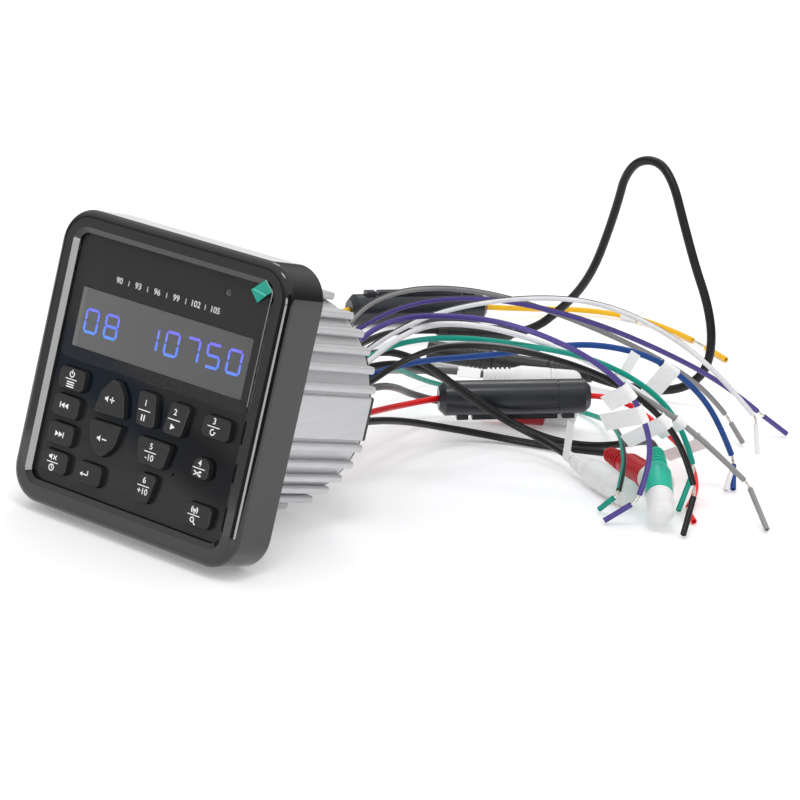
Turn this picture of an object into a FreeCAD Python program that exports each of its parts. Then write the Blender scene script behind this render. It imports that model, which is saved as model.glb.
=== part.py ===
import FreeCAD, Part
import math
import os

V = FreeCAD.Vector

# Driving dimensions, in millimetres
FACE = 108.0              # side of the square front
BEZEL_DEPTH = 19.0        # front edge to the bezel's flat back
CORNER = 13.0             # corner radius of the front
EDGE = 3.0                # rounding of the front edge
WALL = 2.6                # bezel side wall
MOUTH = 95.2              # opening at the front of the inner chamfer
POCKET = 91.2             # opening that takes the fascia panel
POCKET_CORNER = 4.0
CHAMFER_DEPTH = 1.4
PANEL_FRONT = 3.0         # how far the panel lies behind the bezel's front
PANEL_THICK = 2.2
SHELF = 88.4              # opening of the shelf behind the panel
SHELF_THICK = 2.2
PLATE_THICK = 3.0         # bezel back plate
PLATE_BORE = 29.0
BODY_END = 79.0           # rear end of the heat sink
FIN_RADIUS = 42.0
CORE_RADIUS = 39.2
BORE_RADIUS = 33.0
FIN_HEIGHTS = (11.0, 17.8, 24.0, 29.6, 34.9, 40.0)    # above and below the axis
FIN_THICK = 2.8
FIN_ROUND = 1.0
FLAT_HALF_WIDTH = 39.6    # smooth flat on each side of the heat sink
FLAT_HEIGHT = 16.4
FOOT_HALF_WIDTH = 7.0     # solid strip under the lowest fin
COVER_THICK = 1.5
COVER_RADIUS = 38.8
GROMMET_RADIUS = 17.0
NECK_RADIUS = 14.5        # grommet's neck, in the rear cover's hole
GROMMET_END = 86.0
BUTTON_TOP = 0.6
BUTTON_EDGE = 0.5
BUTTON_GAP = 0.3
FLANGE_RIM = 0.8          # how far a button's flange reaches under the panel
FLANGE_THICK = 0.8
FLANGE_DROP = 0.4         # gap between the panel and the flange

# Fit of one solid beside another in the same body
CLEAR = 0.1

# The unit leans back on its bezel's lower rear edge and on its lowest fin
LOWEST_FIN = FIN_HEIGHTS[-1] + FIN_THICK / 2
TILT = math.atan2(FACE / 2 - LOWEST_FIN, BODY_END - BEZEL_DEPTH)
SIN, COS = math.sin(TILT), math.cos(TILT)
LIFT = BEZEL_DEPTH * SIN + FACE / 2 * COS
FRONT_REACH = EDGE * COS - (FACE / 2 - EDGE) * SIN - EDGE
BACK_REACH = GROMMET_END * COS + GROMMET_RADIUS * SIN
SHIFT = -(FRONT_REACH + BACK_REACH) / 2


def place(shape):
    """Tilt a shape made square to the face back onto its two resting edges."""
    moved = shape.copy()
    moved.rotate(V(0, 0, 0), V(1, 0, 0), -math.degrees(TILT))
    moved.translate(V(0, SHIFT, LIFT))
    return moved


def place_point(x, y, z):
    return V(x, y * COS + z * SIN + SHIFT, -y * SIN + z * COS + LIFT)


def save(name, *shapes):
    shape = shapes[0] if len(shapes) == 1 else Part.makeCompound(list(shapes))
    if not shape.isValid():
        print("invalid", name)
    shape.exportStep("parts/" + name + ".step")
    box = shape.BoundBox
    spread = (box.XMin, box.XMax, box.YMin, box.YMax, box.ZMin, box.ZMax)
    print(name, len(shape.Solids), "solids", round(shape.Volume, 1), "mm3",
          "x %.1f %.1f y %.1f %.1f z %.1f %.1f" % spread)


def box(x0, x1, y0, y1, z0, z1):
    return Part.makeBox(x1 - x0, y1 - y0, z1 - z0, V(x0, y0, z0))


def rod(x, z, radius, y0, y1):
    return Part.makeCylinder(radius, y1 - y0, V(x, y0, z), V(0, 1, 0))


def outline(corners, y, grow=0.0):
    """Closed wire in the plane at y: corners are (x, z, radius), in order round the shape."""
    points = [V(x, y, z) for x, z, radius in corners]
    radii = [radius for x, z, radius in corners]
    edges = []
    count = len(points)
    starts, ends, middles = [], [], []
    for i in range(count):
        back = (points[i - 1] - points[i]).normalize()
        ahead = (points[(i + 1) % count] - points[i]).normalize()
        half = back.getAngle(ahead) / 2
        reach = radii[i] / math.tan(half)
        bisector = (back + ahead).normalize()
        starts.append(points[i] + back * reach)
        ends.append(points[i] + ahead * reach)
        middles.append(points[i] + bisector * (radii[i] / math.sin(half) - radii[i]))
    for i in range(count):
        if radii[i] > 0:
            edges.append(Part.Arc(starts[i], middles[i], ends[i]).toShape())
        following = (i + 1) % count
        if (ends[i] - starts[following]).Length > 1e-6:
            edges.append(Part.LineSegment(ends[i], starts[following]).toShape())
    wire = Part.Wire(edges)
    if grow:
        wire = wire.makeOffset2D(grow)
    return wire


def slab(corners, y0, y1, grow=0.0):
    return Part.Face(outline(corners, y0, grow)).extrude(V(0, y1 - y0, 0))


def rectangle(x0, x1, z0, z1, radius):
    return [(x0, z0, radius), (x1, z0, radius), (x1, z1, radius), (x0, z1, radius)]


def square(side, radius):
    half = side / 2
    return rectangle(-half, half, -half, half, radius)


def solid_loft(first, second):
    return Part.makeLoft([first, second], True, True)


# Buttons: corners of each cap, with the radius of each corner
LEFT_COLUMN = (-41.2, -28.9)
ROW_TOPS = (-2.7, -12.8, -23.0, -33.3)
ROW_HEIGHT = 7.8
BUTTONS = {}
for name, top in zip(("power", "previous", "next", "mute"), ROW_TOPS):
    BUTTONS[name] = rectangle(LEFT_COLUMN[0], LEFT_COLUMN[1], top - ROW_HEIGHT, top, 2.0)
BUTTONS["select"] = rectangle(-24.4, -12.2, -41.1, -33.4, 2.0)
BUTTONS["volume_up"] = [(-21.9, -14.9, 0.8), (-7.3, -14.4, 0.8), (-9.2, -6.4, 6.0), (-13.2, -2.0, 2.0),
                        (-16.2, -2.0, 2.0), (-20.4, -7.2, 6.5)]
BUTTONS["volume_down"] = [(-16.6, -29.9, 2.2), (-13.4, -29.7, 2.2), (-8.9, -25.2, 6.0), (-7.4, -17.3, 0.8),
                          (-22.4, -17.7, 0.8), (-21.2, -25.0, 6.5)]
BUTTONS["memory_1"] = [(-1.6, -14.3, 1.6), (7.2, -14.3, 1.6), (5.2, -2.3, 1.6), (-2.9, -2.3, 1.6)]
BUTTONS["memory_2"] = [(10.9, -14.1, 1.6), (19.6, -14.1, 1.6), (21.6, -2.6, 1.6), (12.7, -2.6, 1.6)]
BUTTONS["memory_3"] = rectangle(28.2, 40.5, -10.4, -2.8, 2.0)
BUTTONS["memory_4"] = [(27.4, -25.2, 1.8), (35.6, -25.2, 1.8), (34.8, -18.0, 3.0), (28.2, -18.0, 3.0)]
BUTTONS["memory_5"] = [(2.8, -26.9, 1.4), (14.7, -26.9, 1.4), (16.6, -17.7, 1.4), (0.9, -17.7, 1.4)]
BUTTONS["memory_6"] = [(5.2, -40.2, 1.6), (11.2, -40.2, 1.6), (13.4, -29.9, 1.8), (4.8, -29.9, 1.8)]
BUTTONS["band"] = rectangle(28.5, 40.5, -41.5, -33.8, 2.0)

WINDOW_HALF_WIDTH = 40.5
WINDOW_BOTTOM, WINDOW_TOP = 4.8, 26.5
WINDOW_CORNER = 0.6
SENSOR = (24.8, 39.4, 1.5)
MICROPHONE = (18.2, -27.6, 0.5)
PANEL_BACK = PANEL_FRONT + PANEL_THICK
SHELF_BACK = PANEL_BACK + SHELF_THICK
BOARD_FRONT = 9.8
BOARD_BACK = 11.4
KEYPAD_THICK = 1.4
BOARD_SCREWS = [(x, z) for x in (-47.0, 47.0) for z in (-38.0, 38.0)]
BOARD_POST = 2.6
SCREW_RADIUS = 1.5
SCREW_HEAD_RADIUS = 2.7
SCREW_HEAD = 1.8
CASE_SCREW_CIRCLE = 35.2
CASE_SCREWS = [(CASE_SCREW_CIRCLE * math.cos(math.radians(a)), CASE_SCREW_CIRCLE * math.sin(math.radians(a)))
               for a in (45, 135, 225, 315)]
STUD_SPACING = 57.0       # threaded holes for the clamp bracket
STUD_RADIUS = 2.1
STUD_DEPTH = 14.0
STUD_BOSS = 5.5


def flat_edges(shape, y):
    """Edges of a shape that lie in the plane at y."""
    return [e for e in shape.Edges if abs(e.BoundBox.YMin - y) < 1e-6 and abs(e.BoundBox.YMax - y) < 1e-6]


def front_bezel():
    outer = slab(square(FACE, CORNER), 0, BEZEL_DEPTH)
    body = outer.makeFillet(EDGE, flat_edges(outer, 0))
    mouth = solid_loft(outline(square(MOUTH, POCKET_CORNER + 2.0), -0.01),
                       outline(square(POCKET, POCKET_CORNER), CHAMFER_DEPTH))
    pocket = slab(square(POCKET, POCKET_CORNER), CHAMFER_DEPTH - 0.01, PANEL_BACK)
    shelf = slab(square(SHELF, POCKET_CORNER - 1.0), PANEL_BACK - 0.01, SHELF_BACK + 0.01)
    inside = slab(square(FACE - 2 * WALL, CORNER - WALL), SHELF_BACK, BEZEL_DEPTH + 0.01)
    body = body.cut(mouth).cut(pocket).cut(shelf).cut(inside)
    for x, z in BOARD_SCREWS:
        body = body.fuse(rod(x, z, BOARD_POST, SHELF_BACK - 0.2, BOARD_FRONT - CLEAR))
        body = body.cut(rod(x, z, SCREW_RADIUS + CLEAR, SHELF_BACK + 0.1, BOARD_FRONT))
    return body


def window_outline(less=0.0):
    half = WINDOW_HALF_WIDTH - less
    return rectangle(-half, half, WINDOW_BOTTOM + less, WINDOW_TOP - less, WINDOW_CORNER)


def fascia_panel():
    panel = slab(square(POCKET - 2 * CLEAR, POCKET_CORNER - CLEAR), PANEL_FRONT, PANEL_BACK)
    panel = panel.cut(slab(window_outline(), PANEL_FRONT - 1, PANEL_BACK + 1))
    for corners in BUTTONS.values():
        panel = panel.cut(slab(corners, PANEL_FRONT - 1, PANEL_BACK + 1, BUTTON_GAP))
    for x, z, radius in (SENSOR, MICROPHONE):
        panel = panel.cut(rod(x, z, radius, PANEL_FRONT - 1, PANEL_BACK + 1))
    return panel


def button(corners):
    flange_front = PANEL_BACK + FLANGE_DROP
    cap = slab(corners, BUTTON_TOP, flange_front)
    cap = cap.makeFillet(BUTTON_EDGE, flat_edges(cap, BUTTON_TOP))
    flange = slab(corners, flange_front, flange_front + FLANGE_THICK, FLANGE_RIM)
    return cap.fuse(flange)


def display_window():
    return slab(window_outline(CLEAR), PANEL_FRONT, PANEL_BACK)


def display_module():
    """Frame on the board, with the display's face set a little back in it."""
    rim, inset = 2.0, 1.0
    front = PANEL_BACK + CLEAR
    frame = box(-WINDOW_HALF_WIDTH - rim, WINDOW_HALF_WIDTH + rim, front, BOARD_FRONT,
                WINDOW_BOTTOM - 1.6, WINDOW_TOP + rim)
    return frame.cut(box(-WINDOW_HALF_WIDTH + inset, WINDOW_HALF_WIDTH - inset, front - 1, front + 0.4,
                         WINDOW_BOTTOM + inset, WINDOW_TOP - inset))


def rubber_keypad():
    """Sheet under the buttons with a small cone behind each one."""
    front = BOARD_FRONT - KEYPAD_THICK
    sheet = slab(rectangle(-43.4, 43.4, -43.6, 0.6, 3.0), front, BOARD_FRONT)
    for corners in BUTTONS.values():
        x = sum(c[0] for c in corners) / len(corners)
        z = sum(c[1] for c in corners) / len(corners)
        sheet = sheet.fuse(Part.makeCone(2.2, 1.6, 1.1, V(x, front + 0.1, z), V(0, -1, 0)))
    return sheet


def front_board():
    """Board behind the buttons; each chip is its middle (x, z), width, height and depth."""
    board = slab(square(100.0, 8.0), BOARD_FRONT, BOARD_BACK)
    for x, z in BOARD_SCREWS:
        board = board.cut(rod(x, z, SCREW_RADIUS + 0.2, 0, BOARD_BACK + 1))
    chips = ((0, 20, 14, 14, 1.4), (-24, 18, 8, 6, 1.6), (22, -12, 10, 10, 1.2), (-12, -12, 24, 6, 3.8),
             (26, 22, 6, 5, 2.0))
    for x, z, width, height, depth in chips:
        board = board.fuse(box(x - width / 2, x + width / 2, BOARD_BACK, BOARD_BACK + depth,
                               z - height / 2, z + height / 2))
    return board


def bezel_back_plate():
    front = BEZEL_DEPTH - PLATE_THICK
    plate = slab(square(FACE - 2 * WALL - 2 * CLEAR, CORNER - WALL - CLEAR), front, BEZEL_DEPTH)
    plate = plate.cut(rod(0, 0, PLATE_BORE, front - 1, BEZEL_DEPTH + 1))
    for x, z in CASE_SCREWS:
        plate = plate.cut(rod(x, z, SCREW_RADIUS + 0.15, front - 1, BEZEL_DEPTH + 1))
    return plate


def fin(z):
    """One low plate that reaches out to both sides, its two outer edges rounded."""
    half = math.sqrt(FIN_RADIUS ** 2 - z ** 2)
    section = rectangle(-half, half, z - FIN_THICK / 2, z + FIN_THICK / 2, FIN_ROUND)
    return slab(section, BEZEL_DEPTH, BODY_END)


def heat_sink():
    """Round core with low fins, a smooth flat on each side, and bosses inside for the bracket's studs."""
    body = rod(0, 0, CORE_RADIUS, BEZEL_DEPTH, BODY_END)
    for height in FIN_HEIGHTS:
        body = body.fuse(fin(height)).fuse(fin(-height))
    for low, high in ((-LOWEST_FIN, -BORE_RADIUS), (BORE_RADIUS, LOWEST_FIN)):
        body = body.fuse(box(-FOOT_HALF_WIDTH, FOOT_HALF_WIDTH, BEZEL_DEPTH, BODY_END, low, high))
    flat = rectangle(-FLAT_HALF_WIDTH, FLAT_HALF_WIDTH, -FLAT_HEIGHT / 2, FLAT_HEIGHT / 2, 0.8)
    body = body.fuse(slab(flat, BEZEL_DEPTH, BODY_END))
    bore = rod(0, 0, BORE_RADIUS, BEZEL_DEPTH - 1, BODY_END + 1)
    for side in (-STUD_SPACING / 2, STUD_SPACING / 2):
        bore = bore.cut(rod(side, 0, STUD_BOSS, BODY_END - STUD_DEPTH - 4, BODY_END + 1))
    chip_pad = box(-16, 16, BEZEL_DEPTH + 10, BODY_END - 10, 28.0, 34.0)
    body = body.cut(bore.cut(chip_pad))
    for side in (-STUD_SPACING / 2, STUD_SPACING / 2):
        body = body.cut(rod(side, 0, STUD_RADIUS, BODY_END - STUD_DEPTH, BODY_END + 1))
    for x, z in CASE_SCREWS:
        body = body.cut(rod(x, z, SCREW_RADIUS, BEZEL_DEPTH - 1, BEZEL_DEPTH + 9))
        body = body.cut(rod(x, z, SCREW_RADIUS, BODY_END - 9, BODY_END + 1))
    return body.removeSplitter()


def main_board():
    """Board inside the heat sink; each part below it is its middle (x, y), width, length and height."""
    top = 12.0
    below = top - 1.6
    board = box(-27.5, 27.5, 24, 74, below, top)
    hanging = ((-15, 34, 12, 12, 13), (0, 34, 12, 12, 13), (17, 33, 12, 10, 11), (-16, 58, 14, 14, 2.0),
               (6, 66, 16, 10, 9))
    for x, y, width, length, height in hanging:
        board = board.fuse(box(x - width / 2, x + width / 2, y - length / 2, y + length / 2,
                               below - height, below))
    return board


def amplifier_chip():
    """Chip pressed against the heat sink's pad, with a row of legs down to the board."""
    legs, leg_pitch = 12, 1.8
    chip = box(-12, 12, 40, 60, 23.4, 28.0)
    for leg in range(legs):
        x = leg_pitch * (leg - (legs - 1) / 2)
        chip = chip.fuse(box(x - 0.4, x + 0.4, 49.6, 50.4, 12.0, 23.5))
    return chip


def rear_cover():
    """Round plate with a square shoulder behind each flat of the heat sink."""
    plate = rod(0, 0, COVER_RADIUS, BODY_END, BODY_END + COVER_THICK)
    shoulders = rectangle(-FLAT_HALF_WIDTH, FLAT_HALF_WIDTH, -FLAT_HEIGHT / 2, FLAT_HEIGHT / 2, 0.8)
    plate = plate.fuse(slab(shoulders, BODY_END, BODY_END + COVER_THICK)).removeSplitter()
    plate = plate.cut(rod(0, 0, NECK_RADIUS + CLEAR, BODY_END - 1, BODY_END + 5))
    for side in (-STUD_SPACING / 2, STUD_SPACING / 2):
        plate = plate.cut(rod(side, 0, STUD_RADIUS + 0.3, BODY_END - 1, BODY_END + 5))
    for x, z in CASE_SCREWS:
        plate = plate.cut(rod(x, z, SCREW_RADIUS + 0.15, BODY_END - 1, BODY_END + 5))
    return plate


def wire_grommet():
    outside = Part.makeCone(GROMMET_RADIUS, GROMMET_RADIUS - 1.0, GROMMET_END - BODY_END - COVER_THICK,
                            V(0, BODY_END + COVER_THICK, 0), V(0, 1, 0))
    neck = rod(0, 0, NECK_RADIUS, BODY_END - 0.5, BODY_END + COVER_THICK + 0.1)
    lip = rod(0, 0, NECK_RADIUS + 2, BODY_END - 2.5, BODY_END - 0.05)
    return outside.fuse(neck).fuse(lip)


def case_screws():
    """Eight screws: four hold the back plate to the heat sink, four the rear cover."""
    screws = []
    for x, z in CASE_SCREWS:
        head = rod(x, z, SCREW_HEAD_RADIUS, BEZEL_DEPTH - PLATE_THICK - SCREW_HEAD, BEZEL_DEPTH - PLATE_THICK)
        shank = rod(x, z, SCREW_RADIUS - 0.05, BEZEL_DEPTH - PLATE_THICK - 0.1, BEZEL_DEPTH + 8)
        screws.append(head.fuse(shank))
        head = rod(x, z, SCREW_HEAD_RADIUS, BODY_END + COVER_THICK, BODY_END + COVER_THICK + SCREW_HEAD)
        slot = box(x - 0.4, x + 0.4, BODY_END + COVER_THICK + 0.9, BODY_END + 10, z - 1.6, z + 1.6)
        cross = box(x - 1.6, x + 1.6, BODY_END + COVER_THICK + 0.9, BODY_END + 10, z - 0.4, z + 0.4)
        shank = rod(x, z, SCREW_RADIUS - 0.05, BODY_END - 8, BODY_END + COVER_THICK + 0.1)
        screws.append(head.cut(slot).cut(cross).fuse(shank))
    for x, z in BOARD_SCREWS:
        head = rod(x, z, SCREW_HEAD_RADIUS, BOARD_BACK, BOARD_BACK + SCREW_HEAD)
        screws.append(head.fuse(rod(x, z, SCREW_RADIUS, SHELF_BACK + 0.2, BOARD_BACK + 0.1)))
    return screws


def protective_film():
    """Thin clear film on the panel above the buttons, with its pull tab folded forward at the corner."""
    thick = 0.15
    lower, upper = 0.2, 45.2
    back = PANEL_FRONT - 0.02
    film = slab(rectangle(-45.2, 45.2, lower, upper, 3.2), back - thick, back)
    corners = [(34.4, 42.2, 0.3), (40.6, 38.8, 0.3), (44.6, 43.6, 0.3), (38.3, 45.1, 0.3)]
    tab = slab(corners, PANEL_FRONT - 0.9, PANEL_FRONT - 0.1)
    return film.fuse(tab)


# Wire harness. Each cord: diameter, where it leaves the grommet (x, z) or None, and the points of its route
STUB = 11.0               # straight stretch out of the grommet
SHARE = 0.45              # part of the shorter run that an arc takes up
CORDS = {
    "lead_purple_1": (2.2, (-8.5, 8.5), [
        (-8, 76, 50), (-5, 91, 59), (3, 105, 66), (13, 119, 69), (23, 138, 68), (34, 160, 63),
        (44, 184, 55), (53, 208, 45), (62, 231, 34), (69, 250, 23), (74, 264, 13)]),
    "lead_gray_1": (2.2, (-4, 11.5), [
        (-6, 75, 55), (-6, 90, 66), (0, 105, 71), (9, 121, 72), (19, 140, 69), (29, 162, 62),
        (38, 185, 53), (47, 207, 43), (55, 228, 32), (62, 243, 21), (66, 251, 12)]),
    "lead_white_1": (2.2, (0.5, 7.5), [
        (1, 76, 47), (5, 92, 56), (13, 107, 64), (24, 124, 69), (36, 145, 71), (46, 166, 69),
        (55, 187, 62), (65, 209, 50), (74, 230, 34), (82, 246, 17)]),
    "lead_blue": (2.4, (4.5, 3), [
        (7, 70, 41), (13, 82, 46), (22, 92, 50), (32, 103, 52), (43, 117, 54), (53, 133, 57),
        (64, 150, 58), (77, 170, 53), (87, 186, 41), (94, 197, 27), (99, 203, 12)]),
    "lead_white_2": (2.2, (9.5, 7.5), [
        (10, 72, 48), (14, 83, 57), (22, 92, 64), (31, 99, 66), (41, 110, 65), (53, 126, 60),
        (65, 144, 52), (78, 162, 40), (91, 181, 25), (102, 196, 10)]),
    "lead_green_2": (2.2, (0, -1), [
        (-1, 71, 39.5), (-0.5, 86, 46), (4, 98, 51), (12, 107, 54), (24, 112, 56.5), (37, 116, 58),
        (53, 124, 58), (70, 133, 57), (84, 144, 51), (94, 155, 41), (101, 162, 28), (104, 165, 17)]),
    "lead_gray_2": (2.2, (9, -2), [
        (12, 70, 40), (18, 82, 49), (28, 90, 57), (41, 96, 61), (54, 106, 61), (67, 117, 58),
        (82, 131, 52), (97, 146, 42), (111, 160, 29), (123, 173, 14)]),
    "lead_purple_2": (2.2, (4.5, 11.5), [
        (5, 68, 52), (5, 77, 58), (9, 85, 63), (18, 90, 67), (29, 92, 69.5), (41, 94, 71.5), (54, 98, 72),
        (69, 106, 69), (85, 116, 62), (97, 125, 51), (104, 129, 37.5), (107, 129, 24.5),
        (105.5, 126, 12.5)]),
    "lead_ground": (2.4, (12.5, 2.5), [
        (15, 70, 43), (21, 80, 51), (31, 87, 58), (45, 91, 62), (60, 98, 63), (75, 111, 60),
        (90, 126, 53), (104, 138, 41), (113, 143, 28), (119, 142, 17)]),
    "lead_yellow_head": (2.6, (-12.5, 3), [
        (-18, 73, 37), (-33, 93, 29), (-55, 112, 20), (-81, 133, 11), (-107, 158, 5), (-129, 186, 2),
        (-143, 214, 2), (-148, 237, 4), (-141, 254, 7.5)]),
    "lead_yellow_tail": (2.6, None, [
        (-109, 316, 7.5), (-104, 330, 6), (-100, 350, 3.6), (-92, 370, 2.5), (-75, 382, 2.4),
        (-51, 384, 2.3), (-28, 376, 1.6)]),
    "lead_red_head": (2.6, (-4, -12), [
        (-4, 67, 23.6), (-5, 82, 21.8), (-7, 98, 20), (-11, 113, 17.8), (-15, 127, 15.6),
        (-18, 141, 13.6), (-18.5, 151, 13), (-17, 160, 13)]),
    "lead_red_tail": (2.4, None, [
        (28, 204, 18.2), (34, 210, 18.4), (43, 214, 16), (54, 213, 13), (66, 208, 10.5), (79, 199, 9.5),
        (90, 188, 8.5), (100, 176, 7), (107, 165, 5), (110.5, 155, 3)]),
    "lead_green_1": (2.2, (-5, -6), [
        (-6, 72, 33), (-9, 94, 36), (-15, 117, 34), (-24, 140, 27), (-34, 163, 18), (-40, 187, 9),
        (-38, 206, 4), (-27, 220, 1.5), (-9, 229, 1.2), (9, 230, 1.5), (24, 222, 4), (38, 206, 9),
        (53, 188, 13), (67, 170, 16.5), (80, 152, 18), (90, 138, 16.5), (95, 128, 11)]),
    "audio_lead_rear_white": (3.0, (-9, -4.5), [
        (-13, 73, 34), (-20, 96, 32), (-29, 122, 27), (-40, 149, 21), (-51, 175, 14), (-58, 199, 8),
        (-55, 218, 6), (-42, 226, 6)]),
    "audio_lead_rear_red": (3.0, (0, -7.5), [
        (0, 72, 30), (-5, 93, 31), (-13, 116, 27), (-22, 138, 20), (-28, 155, 13), (-26, 173, 7),
        (-12, 185, 5.4)]),
    "audio_lead_front_red": (3.0, (3, -12.5), [
        (3, 70, 23.5), (2, 90, 20.8), (-2, 108, 16.8), (-4, 127, 12), (-3, 145, 7), (4, 160, 3.6),
        (16, 170, 1.8), (31, 177, 1.7), (45, 180.5, 3.2), (56, 179, 5.5)]),
    "audio_lead_front_white": (3.0, (-4.5, 3.5), [
        (-6, 72, 41), (-7, 88, 44), (-4, 103, 46), (1, 116, 42), (5, 128, 35), (8.5, 139, 26.5),
        (13, 150, 19), (20, 159, 12.5), (31, 164, 8.5), (43, 163, 6.5), (54, 158, 6)]),
    "audio_lead_green": (3.0, (-4.7, -1.5), [
        (-6, 72, 36), (-7, 88, 39), (-5, 104, 40), (-2, 119, 38), (-1, 134, 32), (0, 148, 25),
        (4, 160, 17), (9, 170, 10), (15, 178, 5), (24, 184, 2), (34, 188, 1.6), (45, 190, 3.5),
        (57, 188, 8), (70, 181, 14), (82, 170, 19), (91, 158, 20)]),
    "aerial_lead_head": (3.0, (-12.6, -0.5), [
        (-17, 73, 33), (-28, 95, 27), (-44, 119, 19), (-63, 145, 11), (-83, 173, 5), (-101, 202, 3),
        (-111, 230, 4), (-109, 252, 6), (-98, 266, 6)]),
    "aerial_lead_loop": (4.0, None, [
        (-75, 293, 6), (-68, 301, 9), (-59, 305, 19), (-48, 303, 31), (-39, 300, 45), (-33, 298, 62),
        (-28, 296, 79), (-25, 294, 91), (-17.5, 292, 100), (-6, 291, 101.8), (3.5, 289, 94.5),
        (12, 287, 79.5), (22, 285, 62), (32, 284, 46), (37, 283, 31), (36, 282, 17.5), (28, 280, 8.5),
        (14, 277, 4), (-2, 271, 4), (-12, 267, 6)]),
}

# Speaker and power leads end in a bare strand with a short sleeve left on it, which rests on this point
SLEEVE_ENDS = {
    "lead_purple_1": (80, 281, 1.5), "lead_gray_1": (76, 252, 1.5), "lead_white_1": (88, 244, 1.5),
    "lead_blue": (107, 194, 1.5), "lead_white_2": (106, 190, 1.5), "lead_green_2": (108, 152, 1.5),
    "lead_gray_2": (142, 162, 1.5), "lead_purple_2": (97, 117, 1.5), "lead_ground": (125, 129, 1.5),
    "lead_red_tail": (119, 146, 1.5), "lead_green_1": (88, 127, 1.5), "lead_yellow_tail": (0, 361, 1.5),
}
BARE_LENGTH = 5.0
BARE_YELLOW = 12.0
STRAND_RADIUS = 0.55

# In-line fuse holders, from one end of the body to the other
HOLDERS = [((-17, 160, 13), (28, 204, 18.2)), ((-141, 254, 7.5), (-109, 316, 7.5))]
HOLDER_RADIUS = 7.3
HOLDER_CHAMFER = 2.6
HOLDER_CAP = 14.0         # length of the end cap
LATCH_SIDES = (1, -1)     # below the first holder, on top of the second
LATCH_HALF_WIDTH = 2.2
LATCH_HEIGHT = 1.6
FUSE_RADIUS = 3.2
FUSE_LENGTH = 30.0

# Audio sockets: end of the lead, tip of the dust cap, radius of the moulded body
SOCKETS = [((54, 158, 6), (94, 139, 6), 5.5), ((56, 179, 5.5), (96, 162, 5.5), 5.3),
           ((91, 158, 20), (117, 125, 7), 5.3), ((-42, 226, 6), (-9, 254, 6), 5.3),
           ((-12, 185, 5.4), (18, 211.5, 5.4), 5.2)]
CAP_LENGTH = 14.0
CAP_WALL = 0.9
NECK_RIBS = 5
RIB_PITCH = 2.0

# Aerial lead: in-line joint, then the strain relief and body that end in an open socket
JOINT_ENDS = ((-98, 266, 6), (-75, 293, 6))
JOINT_RADIUS = 4.5
AERIAL_START = (-12, 267, 6)
AERIAL_END = (-80, 236, 6)
BOOT_LENGTH = 45.0
BOOT_RIBS = 9
AERIAL_RADIUS = 4.6
AERIAL_BORE = 3.7
AERIAL_BORE_DEPTH = 14.0

# Paper flags: lead, distance of the flag from the lead's end, a point it reaches towards, length and width
FLAGS = [
    ("lead_purple_2", 42, (87, 125.6, 44.8), 11.5, 7), ("lead_purple_2", 32, (80.4, 131.8, 34.1), 20, 7),
    ("lead_ground", 27, (84.5, 142.8, 24.5), 22, 6), ("lead_gray_2", 36, (91.7, 156.6, 27.8), 14, 5),
    ("lead_blue", 49, (73.9, 171.5, 34.4), 16, 8.5), ("lead_white_2", 16, (76.1, 188.5, 8.4), 20, 6),
    ("lead_white_2", 62, (80, 168, 52), 12, 4.5), ("audio_lead_front_white", 3.2, (56, 157, 30), 15, 5),
    ("audio_lead_rear_white", 6, (-42, 214, 0), 5, 10), ("lead_yellow_tail", 42, (-66, 400, 2.4), 8, 8),
]
PAPER = 0.3
FLAG_BORE = 0.4           # room inside a flag's loop for the lead's bend
OUTLOOK = V(0.57, -0.77, 0.28)    # side of the leads on which the flags lie


def route(name):
    """Corner points of a cord: those that leave the grommet start straight out of its rear face."""
    diameter, leaves_at, points = CORDS[name]
    corners = [V(*point) for point in points]
    if leaves_at:
        x, z = leaves_at
        corners = [place_point(x, GROMMET_END, z), place_point(x, GROMMET_END + STUB, z)] + corners
    return corners


def rounded_path(corners):
    """Straight runs joined by arcs tangent to both. Gives the wire, its length and the arcs' radii."""
    edges, radii = [], []
    start = corners[0]
    for before, corner, after in zip(corners, corners[1:], corners[2:]):
        back, ahead = before - corner, after - corner
        reach = SHARE * min(back.Length, ahead.Length)
        half = back.getAngle(ahead) / 2
        radius = reach * math.tan(half)
        back.normalize()
        ahead.normalize()
        middle = corner + (back + ahead).normalize() * (radius / math.sin(half) - radius)
        edges.append(Part.LineSegment(start, corner + back * reach).toShape())
        edges.append(Part.Arc(corner + back * reach, middle, corner + ahead * reach).toShape())
        start = corner + ahead * reach
        radii.append(radius)
    edges.append(Part.LineSegment(start, corners[-1]).toShape())
    wire = Part.Wire(edges)
    return wire, wire.Length, radii


def tube(corners, radius):
    """Round solid along a route, and the radii and volume that show it was swept well."""
    wire, length, radii = rounded_path(corners)
    first = corners[1] - corners[0]
    profile = Part.Wire([Part.makeCircle(radius, corners[0], first)])
    solid = wire.makePipeShell([profile], True, False)
    expected = math.pi * radius ** 2 * length
    return solid, length, min(radii), solid.Volume / expected


def along(shape, start, end):
    """Carry a shape built on the Z axis to the line from start to end, its X side kept level."""
    axis = V(*end) - V(*start)
    level = axis.cross(V(0, 0, 1))
    turned = FreeCAD.Rotation(level, axis.cross(level), axis, "ZXY")
    moved = shape.copy()
    moved.Placement = FreeCAD.Placement(V(*start), turned)
    return moved


def span(start, end):
    return (V(*end) - V(*start)).Length


def revolved(profile):
    """Solid of revolution on the Z axis from (distance, radius) pairs."""
    points = [V(radius, 0, distance) for distance, radius in profile]
    points = [V(0, 0, profile[0][0])] + points + [V(0, 0, profile[-1][0])]
    face = Part.Face(Part.makePolygon(points + points[:1]))
    return face.revolve(V(0, 0, 0), V(0, 0, 1), 360)


def barrel(radius, low, high):
    return Part.makeCylinder(radius, high - low, V(0, 0, low))


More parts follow.
